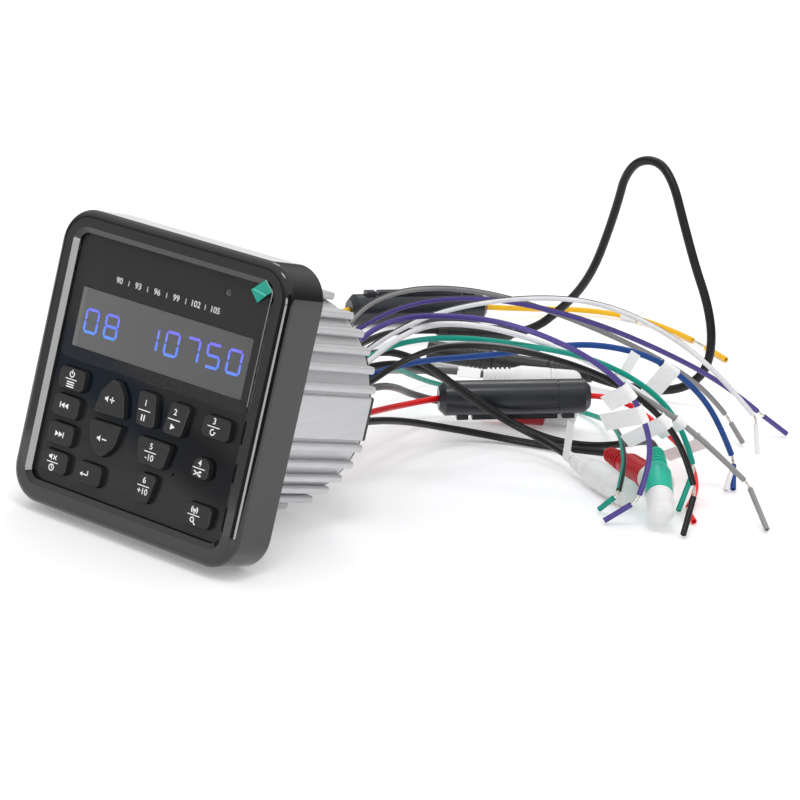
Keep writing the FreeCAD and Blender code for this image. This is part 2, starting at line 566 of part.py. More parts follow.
def soften(shape, distance, radius, amount):
    """Round the circular edge of a shape built on the Z axis."""
    edges = [e for e in shape.Edges
             if abs(e.BoundBox.ZMin - distance) < 1e-6 and abs(e.BoundBox.ZMax - distance) < 1e-6
             and abs(e.BoundBox.XMax - radius) < 1e-3]
    return shape.makeFillet(amount, edges)


def fuse_holder(start, end, latch_side):
    """Closed round housing with chamfered ends and an end cap; a hinge strip and two latches on one side."""
    length = span(start, end)
    small = HOLDER_RADIUS - HOLDER_CHAMFER
    seam = length - HOLDER_CAP
    groove = HOLDER_RADIUS - 0.4
    profile = [(0, small), (HOLDER_CHAMFER, HOLDER_RADIUS), (seam, HOLDER_RADIUS), (seam, groove),
               (seam + 0.6, groove), (seam + 0.6, HOLDER_RADIUS),
               (length - HOLDER_CHAMFER, HOLDER_RADIUS), (length, small)]
    body = revolved(profile)
    inner, outer = sorted((latch_side * (HOLDER_RADIUS - 1.5), latch_side * (HOLDER_RADIUS + LATCH_HEIGHT)))
    for low, high in ((7.6, 12.4), (14.0, seam + 0.5), (seam + 2.6, seam + 7.7)):
        body = body.fuse(box(-LATCH_HALF_WIDTH, LATCH_HALF_WIDTH, inner, outer, low, high))
    middle = length / 2
    hollow = barrel(FUSE_RADIUS + 0.3, middle - FUSE_LENGTH / 2 - 6, middle + FUSE_LENGTH / 2 + 6)
    return along(body.cut(hollow), start, end)


def fuse(start, end):
    """Glass tube between two metal caps."""
    middle = span(start, end) / 2
    low, high = middle - FUSE_LENGTH / 2, middle + FUSE_LENGTH / 2
    glass = barrel(FUSE_RADIUS - 0.3, low + 5, high - 5)
    ends = [barrel(FUSE_RADIUS, low, low + 6), barrel(FUSE_RADIUS, high - 6, high)]
    return along(glass.fuse(ends[0]).fuse(ends[1]), start, end)


def audio_socket(start, end, radius):
    """Ribbed neck, moulded body that widens, and the metal barrel that the dust cap covers."""
    length = span(start, end)
    profile = [(0, 2.3), (1.6, 2.3)]
    for rib in range(NECK_RIBS):
        low = 1.6 + rib * RIB_PITCH
        wide = 3.2 + 0.2 * rib
        profile += [(low, wide), (low + 1.3, wide), (low + 1.3, wide - 0.7), (low + RIB_PITCH, wide - 0.7)]
    neck_end = 1.6 + NECK_RIBS * RIB_PITCH
    body_end = length - CAP_LENGTH
    profile += [(neck_end, 3.9), (neck_end + 5.5, radius), (body_end, radius)]
    body = revolved(profile)
    inner = radius - CAP_WALL - CLEAR
    ring = barrel(inner, body_end - 0.2, length - 3).cut(barrel(inner - 0.5, body_end + 1, length))
    pin = barrel(1.5, body_end, length - 5)
    return along(body.fuse(ring).fuse(pin), start, end)


def dust_cap(start, end, radius):
    """Soft cap with a rounded end, pushed over the socket's barrel."""
    length = span(start, end)
    low = length - CAP_LENGTH + CLEAR
    cap = soften(barrel(radius - 0.1, low, length), length, radius - 0.1, radius - 1.2)
    return along(cap.cut(barrel(radius - CAP_WALL, low - 1, length - 2.6)), start, end)


def aerial_joint(start, end):
    """Two mated round mouldings with a raised ring between them."""
    length = span(start, end)
    middle = length / 2
    profile = [(0, 2.6), (3, 3.6), (5, 3.6), (5, 4.1), (middle - 2, 4.1), (middle - 2, JOINT_RADIUS),
               (middle + 2, JOINT_RADIUS), (middle + 2, 3.8), (length - 4, 3.8), (length, 2.6)]
    return along(revolved(profile), start, end)


def aerial_boot(start, end):
    """Ribbed strain relief that runs into a smooth round body."""
    profile = [(0, 2.8)]
    for rib in range(BOOT_RIBS):
        low = 1.0 + rib * RIB_PITCH
        wide = 3.0 + 0.12 * rib
        profile += [(low, wide), (low + 1.2, wide), (low + 1.2, wide - 0.5), (low + RIB_PITCH, wide - 0.5)]
    rib_end = 1.0 + BOOT_RIBS * RIB_PITCH
    profile += [(rib_end + 1.5, 4.2), (BOOT_LENGTH - 1, 4.2), (BOOT_LENGTH, 3.8)]
    return along(revolved(profile), start, end)


def aerial_socket(start, end):
    """Open round socket with a rib at each side of a plain band."""
    length = span(start, end)
    profile = [(BOOT_LENGTH, 4.1), (BOOT_LENGTH + 2, AERIAL_RADIUS), (BOOT_LENGTH + 4, AERIAL_RADIUS)]
    for rib in range(4):
        low = BOOT_LENGTH + 4 + rib * RIB_PITCH
        profile += [(low, 4.2), (low + 1.0, 4.2), (low + 1.0, AERIAL_RADIUS),
                    (low + RIB_PITCH, AERIAL_RADIUS)]
    profile += [(length - 0.5, AERIAL_RADIUS), (length, AERIAL_RADIUS - 0.4)]
    bore = barrel(AERIAL_BORE, length - AERIAL_BORE_DEPTH, length + 1)
    contact = barrel(1.0, length - AERIAL_BORE_DEPTH - 0.5, length - 8)
    return along(revolved(profile).cut(bore).fuse(contact), start, end)


def strand_points(name):
    """Where the insulation ends, the middle of the bare stretch, and where the sleeve starts and ends."""
    corners = route(name)
    bare = BARE_YELLOW if name == "lead_yellow_tail" else BARE_LENGTH
    outward = (corners[-1] - corners[-2]).normalize()
    middle = corners[-1] + outward * (bare / 2)
    target = V(*SLEEVE_ENDS[name])
    onward = (target - middle).normalize()
    return corners[-1], middle, middle + onward * (bare / 2), target


def bare_strand(name):
    end, middle, sleeve_start, target = strand_points(name)
    return tube([end, middle, sleeve_start], STRAND_RADIUS)[0]


def tip_sleeve(name):
    end, middle, sleeve_start, target = strand_points(name)
    radius = CORDS[name][0] / 2
    direction = target - sleeve_start
    return Part.makeCylinder(radius, direction.Length, sleeve_start, direction)


def flag(name, from_end, reach_to, length, width):
    """Paper strip folded round a lead, standing out towards a point."""
    wire, whole, radii = rounded_path(route(name))
    count = int(whole / 0.5)
    points = wire.discretize(count)
    index = count - 1 - round(from_end / whole * (count - 1))
    middle = points[index]
    lead_way = (points[index + 2] - points[index - 2]).normalize()
    aside = V(*reach_to) - middle
    aside = (aside - lead_way * aside.dot(lead_way)).normalize()
    normal = lead_way.cross(aside)
    if normal.dot(OUTLOOK) < 0:
        normal = -normal
    bore = CORDS[name][0] / 2 + FLAG_BORE
    foot = middle - lead_way * (width / 2)
    ring = Part.makeCylinder(bore + PAPER, width, foot, lead_way)
    ring = ring.cut(Part.makeCylinder(bore, width + 2, foot - lead_way, lead_way))
    near = foot + normal * bore
    far = near + aside * length
    face = Part.Face(Part.makePolygon([near, far, far + lead_way * width, near + lead_way * width, near]))
    return ring.fuse(face.extrude(normal * PAPER))


os.makedirs("parts", exist_ok=True)
save("front_bezel", place(front_bezel()))
save("fascia_panel", place(fascia_panel()))
save("display_window", place(display_window()))
save("protective_film", place(protective_film()))
save("display_module", place(display_module()))
save("rubber_keypad", place(rubber_keypad()))
save("front_board", place(front_board()))
save("bezel_back_plate", place(bezel_back_plate()))
save("heat_sink", place(heat_sink()))
save("main_board", place(main_board()))
save("amplifier_chip", place(amplifier_chip()))
save("rear_cover", place(rear_cover()))
save("wire_grommet", place(wire_grommet()))
save("case_screws", *[place(screw) for screw in case_screws()])
for name, corners in BUTTONS.items():
    save("button_" + name, place(button(corners)))
for name in CORDS:
    solid, length, tightest, ratio = tube(route(name), CORDS[name][0] / 2)
    save(name, solid)
    print("    length %.0f, smallest radius %.1f, volume against section times length %.4f" %
          (length, tightest, ratio))
save("fuse_holders", *[fuse_holder(*ends, side) for ends, side in zip(HOLDERS, LATCH_SIDES)])
save("fuses", *[fuse(*ends) for ends in HOLDERS])
save("audio_sockets", *[audio_socket(*socket) for socket in SOCKETS])
save("dust_caps", *[dust_cap(*socket) for socket in SOCKETS])
save("aerial_joint", aerial_joint(*JOINT_ENDS))
save("aerial_boot", aerial_boot(AERIAL_START, AERIAL_END))
save("aerial_socket", aerial_socket(AERIAL_START, AERIAL_END))
save("bare_strands", *[bare_strand(name) for name in SLEEVE_ENDS])
save("tip_sleeves", *[tip_sleeve(name) for name in SLEEVE_ENDS])
save("lead_tags", *[flag(*details) for details in FLAGS])
print("tilt", round(math.degrees(TILT), 3), "shift", round(SHIFT, 3), "lift", round(LIFT, 3))
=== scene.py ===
import math

import bmesh
import bpy
from mathutils import Matrix, Vector


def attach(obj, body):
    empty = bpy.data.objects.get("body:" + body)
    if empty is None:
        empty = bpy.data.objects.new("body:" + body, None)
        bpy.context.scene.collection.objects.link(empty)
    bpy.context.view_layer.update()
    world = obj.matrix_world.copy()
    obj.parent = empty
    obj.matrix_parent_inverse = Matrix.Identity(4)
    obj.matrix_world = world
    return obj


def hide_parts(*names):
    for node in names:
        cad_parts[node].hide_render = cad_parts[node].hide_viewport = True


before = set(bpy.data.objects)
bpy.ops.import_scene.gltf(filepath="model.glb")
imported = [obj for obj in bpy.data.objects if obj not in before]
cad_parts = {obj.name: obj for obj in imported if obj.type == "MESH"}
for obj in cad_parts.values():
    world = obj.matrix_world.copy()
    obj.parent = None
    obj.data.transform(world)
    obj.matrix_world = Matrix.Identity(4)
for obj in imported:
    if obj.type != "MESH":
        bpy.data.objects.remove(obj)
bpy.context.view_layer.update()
MM = 0.001

# Camera of the photograph, in millimetres, and the frame that its focal length is worked out in
CAMERA_PLACE = (631.97, -739.54, 337.75)
CAMERA_TARGET = (50.07, 43.51, 50.0)
CAMERA_ROLL = 5.78
FRAME_PIXELS = 800
FOCAL_PIXELS = 2800.4
SENSOR = 36.0
CLIP_START = 0.01         # in metres

# The head leans back: it stands on its face's lower edge and on the rear end of its lowest fin
FACE = 108.0              # side of the square face
BODY_BACK = 19.0          # from the face to the bezel's flat back
BODY_END = 79.0           # rear end of the heat sink
LOWEST_FIN = 41.4         # how far the lowest fin reaches below the head's axis
GROMMET_END = 86.0
TILT = math.atan2(FACE / 2 - LOWEST_FIN, BODY_END - BODY_BACK)

# From the head's own millimetres, X to the right, Y to the rear and Z up its face, to the frame
SHIFT, LIFT = -38.556, 56.752
HEAD = (Matrix.Translation((0, SHIFT * MM, LIFT * MM)) @ Matrix.Rotation(-TILT, 4, "X")
        @ Matrix.Scale(MM, 4))
HEAD_ABOVE = SHIFT * math.sin(TILT) + LIFT * math.cos(TILT)    # how far its middle is up its own Z

# Turns Z to the front and Y up
FACING = Matrix(((1, 0, 0, 0), (0, 0, -1, 0), (0, 1, 0, 0), (0, 0, 0, 1)))

# What the face carries, in the head's millimetres
PANEL_FRONT = 3.0
BUTTON_TOP = 0.6
INK = 0.015               # half the height of raised print
WINDOW_LEFT, WINDOW_RIGHT = -40.5, 40.5
LENS = (24.8, 39.4)
LENS_RADIUS, LENS_CROWN = 1.4, 0.36
LENS_DEPTH, LENS_SEAT = 0.8, 0.38
LENS_SIDES, LENS_STEPS = 32, 8

# Cords, in millimetres: diameter, where they leave the grommet (x, z) or None, and the points
# that their routes bend at
STUB = 11.0               # straight stretch out of the grommet
CORDS = {
    "lead_purple_1": (2.2, (-8.5, 8.5), [
        (-8, 76, 50), (-5, 91, 59), (3, 105, 66), (13, 119, 69), (23, 138, 68), (34, 160, 63),
        (44, 184, 55), (53, 208, 45), (62, 231, 34), (69, 250, 23), (74, 264, 13)]),
    "lead_gray_1": (2.2, (-4, 11.5), [
        (-6, 75, 55), (-6, 90, 66), (0, 105, 71), (9, 121, 72), (19, 140, 69), (29, 162, 62),
        (38, 185, 53), (47, 207, 43), (55, 228, 32), (62, 243, 21), (66, 251, 12)]),
    "lead_white_1": (2.2, (0.5, 7.5), [
        (1, 76, 47), (5, 92, 56), (13, 107, 64), (24, 124, 69), (36, 145, 71), (46, 166, 69),
        (55, 187, 62), (65, 209, 50), (74, 230, 34), (82, 246, 17)]),
    "lead_blue": (2.4, (4.5, 3), [
        (7, 70, 41), (13, 82, 46), (22, 92, 50), (32, 103, 52), (43, 117, 54), (53, 133, 57),
        (64, 150, 58), (77, 170, 53), (87, 186, 41), (94, 197, 27), (99, 203, 12)]),
    "lead_white_2": (2.2, (9.5, 7.5), [
        (10, 72, 48), (14, 83, 57), (22, 92, 64), (31, 99, 66), (41, 110, 65), (53, 126, 60),
        (65, 144, 52), (78, 162, 40), (91, 181, 25), (102, 196, 10)]),
    "lead_green_2": (2.2, (0, -1), [
        (-1, 71, 39.5), (-0.5, 86, 46), (4, 98, 51), (12, 107, 54), (24, 112, 56.5),
        (37, 116, 58), (53, 124, 58), (70, 133, 57), (84, 144, 51), (94, 155, 41),
        (101, 162, 28), (104, 165, 17)]),
    "lead_gray_2": (2.2, (9, -2), [
        (12, 70, 40), (18, 82, 49), (28, 90, 57), (41, 96, 61), (54, 106, 61), (67, 117, 58),
        (82, 131, 52), (97, 146, 42), (111, 160, 29), (123, 173, 14)]),
    "lead_purple_2": (2.2, (4.5, 11.5), [
        (5, 68, 52), (5, 77, 58), (9, 85, 63), (18, 90, 67), (29, 92, 69.5), (41, 94, 71.5),
        (54, 98, 72), (69, 106, 69), (85, 116, 62), (97, 125, 51), (104, 129, 37.5),
        (107, 129, 24.5), (105.5, 126, 12.5)]),
    "lead_ground": (2.4, (12.5, 2.5), [
        (15, 70, 43), (21, 80, 51), (31, 87, 58), (45, 91, 62), (60, 98, 63), (75, 111, 60),
        (90, 126, 53), (104, 138, 41), (113, 143, 28), (119, 142, 17)]),
    "lead_yellow_head": (2.6, (-12.5, 3), [
        (-18, 73, 37), (-33, 93, 29), (-55, 112, 20), (-81, 133, 11), (-107, 158, 5),
        (-129, 186, 2), (-143, 214, 2), (-148, 237, 4), (-141, 254, 7.5)]),
    "lead_yellow_tail": (2.6, None, [
        (-109, 316, 7.5), (-104, 330, 6), (-100, 350, 3.6), (-92, 370, 2.5), (-75, 382, 2.4),
        (-51, 384, 2.3), (-28, 376, 1.6)]),
    "lead_red_head": (2.6, (-4, -12), [
        (-4, 67, 23.6), (-5, 82, 21.8), (-7, 98, 20), (-11, 113, 17.8), (-15, 127, 15.6),
        (-18, 141, 13.6), (-18.5, 151, 13), (-17, 160, 13)]),
    "lead_red_tail": (2.4, None, [
        (28, 204, 18.2), (34, 210, 18.4), (43, 214, 16), (54, 213, 13), (66, 208, 10.5),
        (79, 199, 9.5), (90, 188, 8.5), (100, 176, 7), (107, 165, 5), (110.5, 155, 3)]),
    "lead_green_1": (2.2, (-5, -6), [
        (-6, 72, 33), (-9, 94, 36), (-15, 117, 34), (-24, 140, 27), (-34, 163, 18),
        (-40, 187, 9), (-38, 206, 4), (-27, 220, 1.5), (-9, 229, 1.2), (9, 230, 1.5),
        (24, 222, 4), (38, 206, 9), (53, 188, 13), (67, 170, 16.5), (80, 152, 18),
        (90, 138, 16.5), (95, 128, 11)]),
    "audio_lead_rear_white": (3.0, (-9, -4.5), [
        (-13, 73, 34), (-20, 96, 32), (-29, 122, 27), (-40, 149, 21), (-51, 175, 14),
        (-58, 199, 8), (-55, 218, 6), (-42, 226, 6)]),
    "audio_lead_rear_red": (3.0, (0, -7.5), [
        (0, 72, 30), (-5, 93, 31), (-13, 116, 27), (-22, 138, 20), (-28, 155, 13), (-26, 173, 7),
        (-12, 185, 5.4)]),
    "audio_lead_front_red": (3.0, (3, -12.5), [
        (3, 70, 23.5), (2, 90, 20.8), (-2, 108, 16.8), (-4, 127, 12), (-3, 145, 7),
        (4, 160, 3.6), (16, 170, 1.8), (31, 177, 1.7), (45, 180.5, 3.2), (56, 179, 5.5)]),
    "audio_lead_front_white": (3.0, (-4.5, 3.5), [
        (-6, 72, 41), (-7, 88, 44), (-4, 103, 46), (1, 116, 42), (5, 128, 35), (8.5, 139, 26.5),
        (13, 150, 19), (20, 159, 12.5), (31, 164, 8.5), (43, 163, 6.5), (54, 158, 6)]),
    "audio_lead_green": (3.0, (-4.7, -1.5), [
        (-6, 72, 36), (-7, 88, 39), (-5, 104, 40), (-2, 119, 38), (-1, 134, 32), (0, 148, 25),
        (4, 160, 17), (9, 170, 10), (15, 178, 5), (24, 184, 2), (34, 188, 1.6), (45, 190, 3.5),
        (57, 188, 8), (70, 181, 14), (82, 170, 19), (91, 158, 20)]),
    "aerial_lead_head": (3.0, (-12.6, -0.5), [
        (-17, 73, 33), (-28, 95, 27), (-44, 119, 19), (-63, 145, 11), (-83, 173, 5),
        (-101, 202, 3), (-111, 230, 4), (-109, 252, 6), (-98, 266, 6)]),
    "aerial_lead_loop": (4.0, None, [
        (-75, 293, 6), (-68, 301, 9), (-59, 305, 19), (-48, 303, 31), (-39, 300, 45),
        (-33, 298, 62), (-28, 296, 79), (-25, 294, 91), (-17.5, 292, 100), (-6, 291, 101.8),
        (3.5, 289, 94.5), (12, 287, 79.5), (22, 285, 62), (32, 284, 46), (37, 283, 31),
        (36, 282, 17.5), (28, 280, 8.5), (14, 277, 4), (-2, 271, 4), (-12, 267, 6)]),
}

# How finely the cords' tubes are drawn: steps along a route and steps round the tube
CORD_STEPS, CORD_ROUNDNESS = 10, 5
SMOOTH_ORDER = 3          # of the NURBS line through a route

# Insulation by the lead's name, the audio leads' two colours, and the leads with a stripe
LEAD_COLORS = {
    "purple": (0.085, 0.058, 0.28), "gray": (0.315, 0.302, 0.300), "white": (0.88, 0.88, 0.90),
    "blue": (0.007, 0.062, 0.28), "green": (0.0, 0.33, 0.245), "ground": (0.008, 0.008, 0.009),
    "yellow": (0.93, 0.52, 0.008), "red": (0.90, 0.010, 0.016),
}
REAR_LEAD, BLACK_LEAD = (0.11, 0.11, 0.112), (0.008, 0.008, 0.0085)
STRIPED = ("lead_purple_1", "lead_gray_1", "lead_white_1", "lead_green_1")
STRIPE_SHARE = 0.24       # of the way round the lead

# Ends of the bare leads: where the loose sleeve ends, and the strand and sleeve themselves
SLEEVE_ENDS = {
    "lead_purple_1": (80, 281, 1.5), "lead_gray_1": (76, 252, 1.5),
    "lead_white_1": (88, 244, 1.5), "lead_blue": (107, 194, 1.5),
    "lead_white_2": (106, 190, 1.5), "lead_green_2": (108, 152, 1.5),
    "lead_gray_2": (142, 162, 1.5), "lead_purple_2": (97, 117, 1.5),
    "lead_ground": (125, 129, 1.5), "lead_red_tail": (119, 146, 1.5),
    "lead_green_1": (88, 127, 1.5), "lead_yellow_tail": (0, 361, 1.5),
}
BARE_LENGTH = 5.0
BARE_YELLOW = 12.0
STRAND_WIRES = 6
STRAND_WIRE = 0.2         # radius of one wire
STRAND_SPREAD = 0.36      # how far the wires lie from the strand's middle
STRAND_SWELL = 0.8, 0.5   # share of that at the ends, and what is added halfway
STRAND_TURNS = 0.8
STRAND_STEPS, STRAND_ROUNDNESS = 14, 2
SLEEVE_BORE = 0.55        # share of the sleeve's radius
SLEEVE_DEPTH = 1.5        # how deep the sleeve's far end is open
SLEEVE_EDGES = (0.1, 0.12)
SLEEVE_SIDES = 24

# Solids that stay, on the ends of cords
ON_CORDS = {"lead_red_head": ["fuse_holders"], "lead_yellow_head": ["fuse_holders"],
            "aerial_lead_head": ["aerial_joint"],
            "aerial_lead_loop": ["aerial_boot", "aerial_socket"]}

# Audio sockets: end of the lead, tip of the dust cap, radius of the moulded body
SOCKETS = {
    "audio_lead_front_white": ((54, 158, 6), (94, 139, 6), 5.5),
    "audio_lead_front_red": ((56, 179, 5.5), (96, 162, 5.5), 5.3),
    "audio_lead_green": ((91, 158, 20), (117, 125, 7), 5.3),
    "audio_lead_rear_white": ((-42, 226, 6), (-9, 254, 6), 5.3),
    "audio_lead_rear_red": ((-12, 185, 5.4), (18, 211.5, 5.4), 5.2),
}
SOCKET_COLORS = {"white": (0.90, 0.90, 0.90), "red": (0.56, 0.008, 0.016),
                 "green": (0.0, 0.52, 0.36)}
COLLAR_LENGTH, COLLAR_RADIUS = 1.6, 2.35
COLLAR_EDGE = 0.3, 0.15   # its rounding, along and across
NECK_RIBS = 5
RIB_PITCH, RIB_WIDTH = 2.0, 1.3
RIB_EASE = 0.12           # rounding of its edges, as a share of its width
RIB_RADIUS, RIB_GROWTH, RIB_DEPTH = 3.2, 0.2, 0.7
FLARE_START, FLARE_LENGTH, FLARE_RADIUS = 0.1, 5.4, 3.9
FLARE_STEPS = 8
BODY_EDGE = 0.3
ROUND_SIDES, ROUND_STEPS = 48, 8
ON_AXIS = 1e-4            # a smaller radius is a point on the axis
SHARP_ANGLE = 35
CAP_LENGTH = 14.0
CAP_INSET = 0.1           # of the cap behind the body, along and across
CAP_EDGE = 0.2
CAP_GROOVE = ((1.6, 0), (1.8, 0.15), (2.1, 0.15), (2.3, 0))    # (distance, depth) from its edge
CAP_FLAT = 1.1            # radius of the flat at its tip


def point(x, y, z):
    """Place in the frame, from millimetres."""
    return Vector((x, y, z)) * MM


def head_point(x, y, z):
    """Place in the frame, from the head's own millimetres."""
    return HEAD @ Vector((x, y, z))


def route(name):
    """Corner points of a cord, the same as those of its tube among the solids."""
    leaves_at, places = CORDS[name][1:]
    corners = [point(*place) for place in places]
    if leaves_at:
        x, z = leaves_at
        corners = [head_point(x, GROMMET_END, z), head_point(x, GROMMET_END + STUB, z)] + corners
    return corners


def add_object(name, data):
    item = bpy.data.objects.new(name, data)
    bpy.context.scene.collection.objects.link(item)
    return item


def add_camera():
    data = bpy.data.cameras.new("camera")
    data.sensor_fit = "HORIZONTAL"
    data.sensor_width = SENSOR
    data.lens = SENSOR * FOCAL_PIXELS / FRAME_PIXELS
    data.clip_start = CLIP_START
    camera = add_object("camera", data)
    place, target = point(*CAMERA_PLACE), point(*CAMERA_TARGET)
    turn = (target - place).to_track_quat("-Z", "Y").to_matrix().to_4x4()
    roll = Matrix.Rotation(math.radians(CAMERA_ROLL), 4, "Z")
    camera.matrix_world = Matrix.Translation(place) @ turn @ roll
    bpy.context.scene.camera = camera
    bpy.context.scene.view_settings.view_transform = "Standard"


# Materials


class Nodes:
    """Node tree of a material or of the world, with short calls for what both need."""

    def __init__(self, owner, shader):
        owner.use_nodes = True
        self.tree = owner.node_tree
        self.shader = self.tree.nodes[shader]

    def add(self, kind, **settings):
        node = self.tree.nodes.new(kind)
        for key, value in settings.items():
            setattr(node, key, value)
        return node

    def join(self, source, target):
        self.tree.links.new(source, target)

    def set(self, **values):
        for key, value in values.items():
            self.shader.inputs[key.replace("_", " ")].default_value = value

    def maths(self, operation, *values):
        """Result of a Math node on sockets and numbers."""
        node = self.add("ShaderNodeMath", operation=operation)
        for socket, value in zip(node.inputs, values):
            if isinstance(value, (int, float)):
                socket.default_value = value
            else:
                self.join(value, socket)
        return node.outputs[0]

    def span(self, value, low, high, from_low=0.3, from_high=0.7, easing="LINEAR"):
        """A value stretched from one range to another. The first range suits a noise."""
        spread = self.add("ShaderNodeMapRange", interpolation_type=easing)
        limits = {"From Min": from_low, "From Max": from_high, "To Min": low, "To Max": high}
        for key, number in limits.items():
            spread.inputs[key].default_value = number
        self.join(value, spread.inputs["Value"])
        return spread.outputs["Result"]


class Surface(Nodes):
    """A material, with short calls for its patterns in object coordinates."""

    def __init__(self, name):
        self.material = bpy.data.materials.new(name)
        super().__init__(self.material, "Principled BSDF")
        self.places = self.add("ShaderNodeTexCoord")

    def stretched(self, scale):
        mapping = self.add("ShaderNodeMapping")
        mapping.inputs["Scale"].default_value = scale
        self.join(self.places.outputs["Object"], mapping.inputs["Vector"])
        return mapping.outputs["Vector"]

    def noise(self, scale, detail, stretch=(1, 1, 1)):
        texture = self.add("ShaderNodeTexNoise")
        texture.inputs["Scale"].default_value = scale
        texture.inputs["Detail"].default_value = detail
        texture.inputs["Roughness"].default_value = 0.55
        self.join(self.stretched(stretch), texture.inputs["Vector"])
        return texture.outputs["Fac"]

    def spots(self, scale, low, high):
        """Full at the middle of scattered cells, and gone from the further distance on."""
        texture = self.add("ShaderNodeTexVoronoi")
        texture.inputs["Scale"].default_value = scale
        self.join(self.stretched((1, 1, 1)), texture.inputs["Vector"])
        return self.span(texture.outputs["Distance"], 1, 0, low, high)

    def blend(self, factor, first, second):
        mix = self.add("ShaderNodeMix", data_type="RGBA")
        for socket, value in ((6, first), (7, second)):
            if isinstance(value, tuple):
                mix.inputs[socket].default_value = (*value, 1)
            else:
                self.join(value, mix.inputs[socket])
        self.join(factor, mix.inputs[0])
        return mix.outputs[2]

    def mottle(self, pattern, first, second, amount=1):
        """Blend of two colours by a noise."""
        return self.blend(self.span(pattern, 0, amount), first, second)

    def along(self, direction, offset=0.0):
        """Distance of a point along a direction, in millimetres."""
        dot = self.add("ShaderNodeVectorMath", operation="DOT_PRODUCT")
        dot.inputs[1].default_value = tuple(number / MM for number in direction)
        self.join(self.places.outputs["Object"], dot.inputs[0])
        return self.maths("ADD", dot.outputs["Value"], offset)

    def ramp(self, value, *stops):
        """Colours along a value from 0 to 1, eased between (place, colour) stops."""
        node = self.add("ShaderNodeValToRGB")
        node.color_ramp.interpolation = "EASE"
        while len(node.color_ramp.elements) < len(stops):
            node.color_ramp.elements.new(0.5)
        for element, (place, color) in zip(node.color_ramp.elements, stops):
            element.position = place
            element.color = (*color, 1)
        self.join(value, node.inputs["Fac"])
        return node.outputs["Color"]

    def color(self, value):
        self.join(value, self.shader.inputs["Base Color"])

    def rough(self, pattern, low, high):
        self.join(self.span(pattern, low, high), self.shader.inputs["Roughness"])

    def bump(self, height, strength, distance):
        node = self.add("ShaderNodeBump")
        node.inputs["Strength"].default_value = strength
        node.inputs["Distance"].default_value = distance
        self.join(height, node.inputs["Height"])
        self.join(node.outputs["Normal"], self.shader.inputs["Normal"])


def shade(color, amount):
    return tuple(min(1.0, channel * amount) for channel in color)


def moulded(name, color, roughness, grain=900, relief=0.00002, spread=0.12, specular=0.5,
            coat=0.0):
    """Moulded plastic or rubber: a fine grain, and slow changes of tone and gloss."""
    look = Surface(name)
    look.color(look.mottle(look.noise(35, 3), shade(color, 1 - spread), shade(color, 1 + spread)))
    look.rough(look.noise(90, 4), roughness * 0.85, roughness * 1.2)
    look.bump(look.noise(grain, 5), 0.35, relief)
    look.set(Specular_IOR_Level=specular, Coat_Weight=coat, Coat_Roughness=0.06)
    return look.material


def polished_black():
    """High gloss black with dust specks and hair scratches that only dull it a little."""
    look = Surface("polished_black")
    dust = look.spots(700, 0.02, 0.10)
    tone = look.mottle(look.noise(14, 3), (0.006, 0.006, 0.0065), (0.010, 0.010, 0.0105))
    look.color(look.blend(look.span(dust, 0, 0.25, 0, 1), tone, (0.05, 0.05, 0.05)))
    look.rough(look.noise(260, 6, (1, 18, 1)), 0.03, 0.08)
    look.set(Specular_IOR_Level=0.6)
    look.bump(look.noise(60, 2), 0.03, 0.00003)
    return look.material


# Painted reflection on the panel, a blue band under the display, in millimetres: how it falls to
# the right, how far up its tones reach, and where on the way to the right its blue turns to black
PAINTED_REFLECTION_FALL = 0.33
PAINTED_REFLECTION_SHIFT, PAINTED_REFLECTION_SPAN = 10, (-24, 26)
PAINTED_BLUE_SPAN = (-10, 24)
GLOW_SPAN = (9, 21)       # heights that the digits' colour changes between


def panel_with_painted_reflection():
    """Smoked acrylic over dark print, with a painted reflection: a deep blue band under the
    display.

    The painted band falls away to the right, and its blue turns to black there. Above and below it
    the grey is painted lighter, as part of the same painted reflection.
    """
    look = Surface("panel_with_painted_reflection")
    grey, blue, dark = (0.020, 0.020, 0.0205), (0.003, 0.0085, 0.017), (0.005, 0.0055, 0.007)
    up = look.along((PAINTED_REFLECTION_FALL, math.sin(TILT), math.cos(TILT)), PAINTED_REFLECTION_SHIFT - HEAD_ABOVE)
    place = look.span(up, 0, 1, *PAINTED_REFLECTION_SPAN)
    # Painted reflection: lighter grey above and below, and between them the band, blue to the left
    # and black to the right
    tones = [look.ramp(place, (0.14, shade(grey, 1.25)), (0.36, deep), (0.56, deep), (0.72, grey),
                       (1.0, shade(grey, 1.2))) for deep in (blue, dark)]
    tone = look.blend(look.span(look.along((1, 0, 0)), 0, 1, *PAINTED_BLUE_SPAN), *tones)
    specks = look.spots(420, 0.015, 0.05)
    look.color(look.blend(look.span(specks, 0, 0.5, 0, 1), tone, (0.16, 0.16, 0.16)))
    look.rough(look.noise(180, 5, (1, 1, 6)), 0.05, 0.12)
    look.set(Specular_IOR_Level=0.17)
    look.bump(look.noise(45, 2), 0.03, 0.00003)
    return look.material


def display_pane():
    """Grey polariser behind acrylic, darker to the right, with a painted highlight along its left
    rim.
    """
    look = Surface("display_pane")
    across = look.span(look.along((1, 0, 0)), 0, 1, WINDOW_LEFT, WINDOW_RIGHT)
    # The lightest stops at the left end are a painted highlight along the rim
    tone = look.ramp(across, (0.0, (0.21, 0.21, 0.21)), (0.022, (0.20, 0.20, 0.20)),
                     (0.03, (0.155, 0.155, 0.155)), (0.6, (0.132, 0.132, 0.134)),
                     (1.0, (0.115, 0.115, 0.118)))
    look.color(look.mottle(look.noise(900, 3, (1, 1, 0.1)), tone, (0.2, 0.2, 0.2), 0.1))
    look.rough(look.noise(150, 3), 0.08, 0.16)
    return look.material


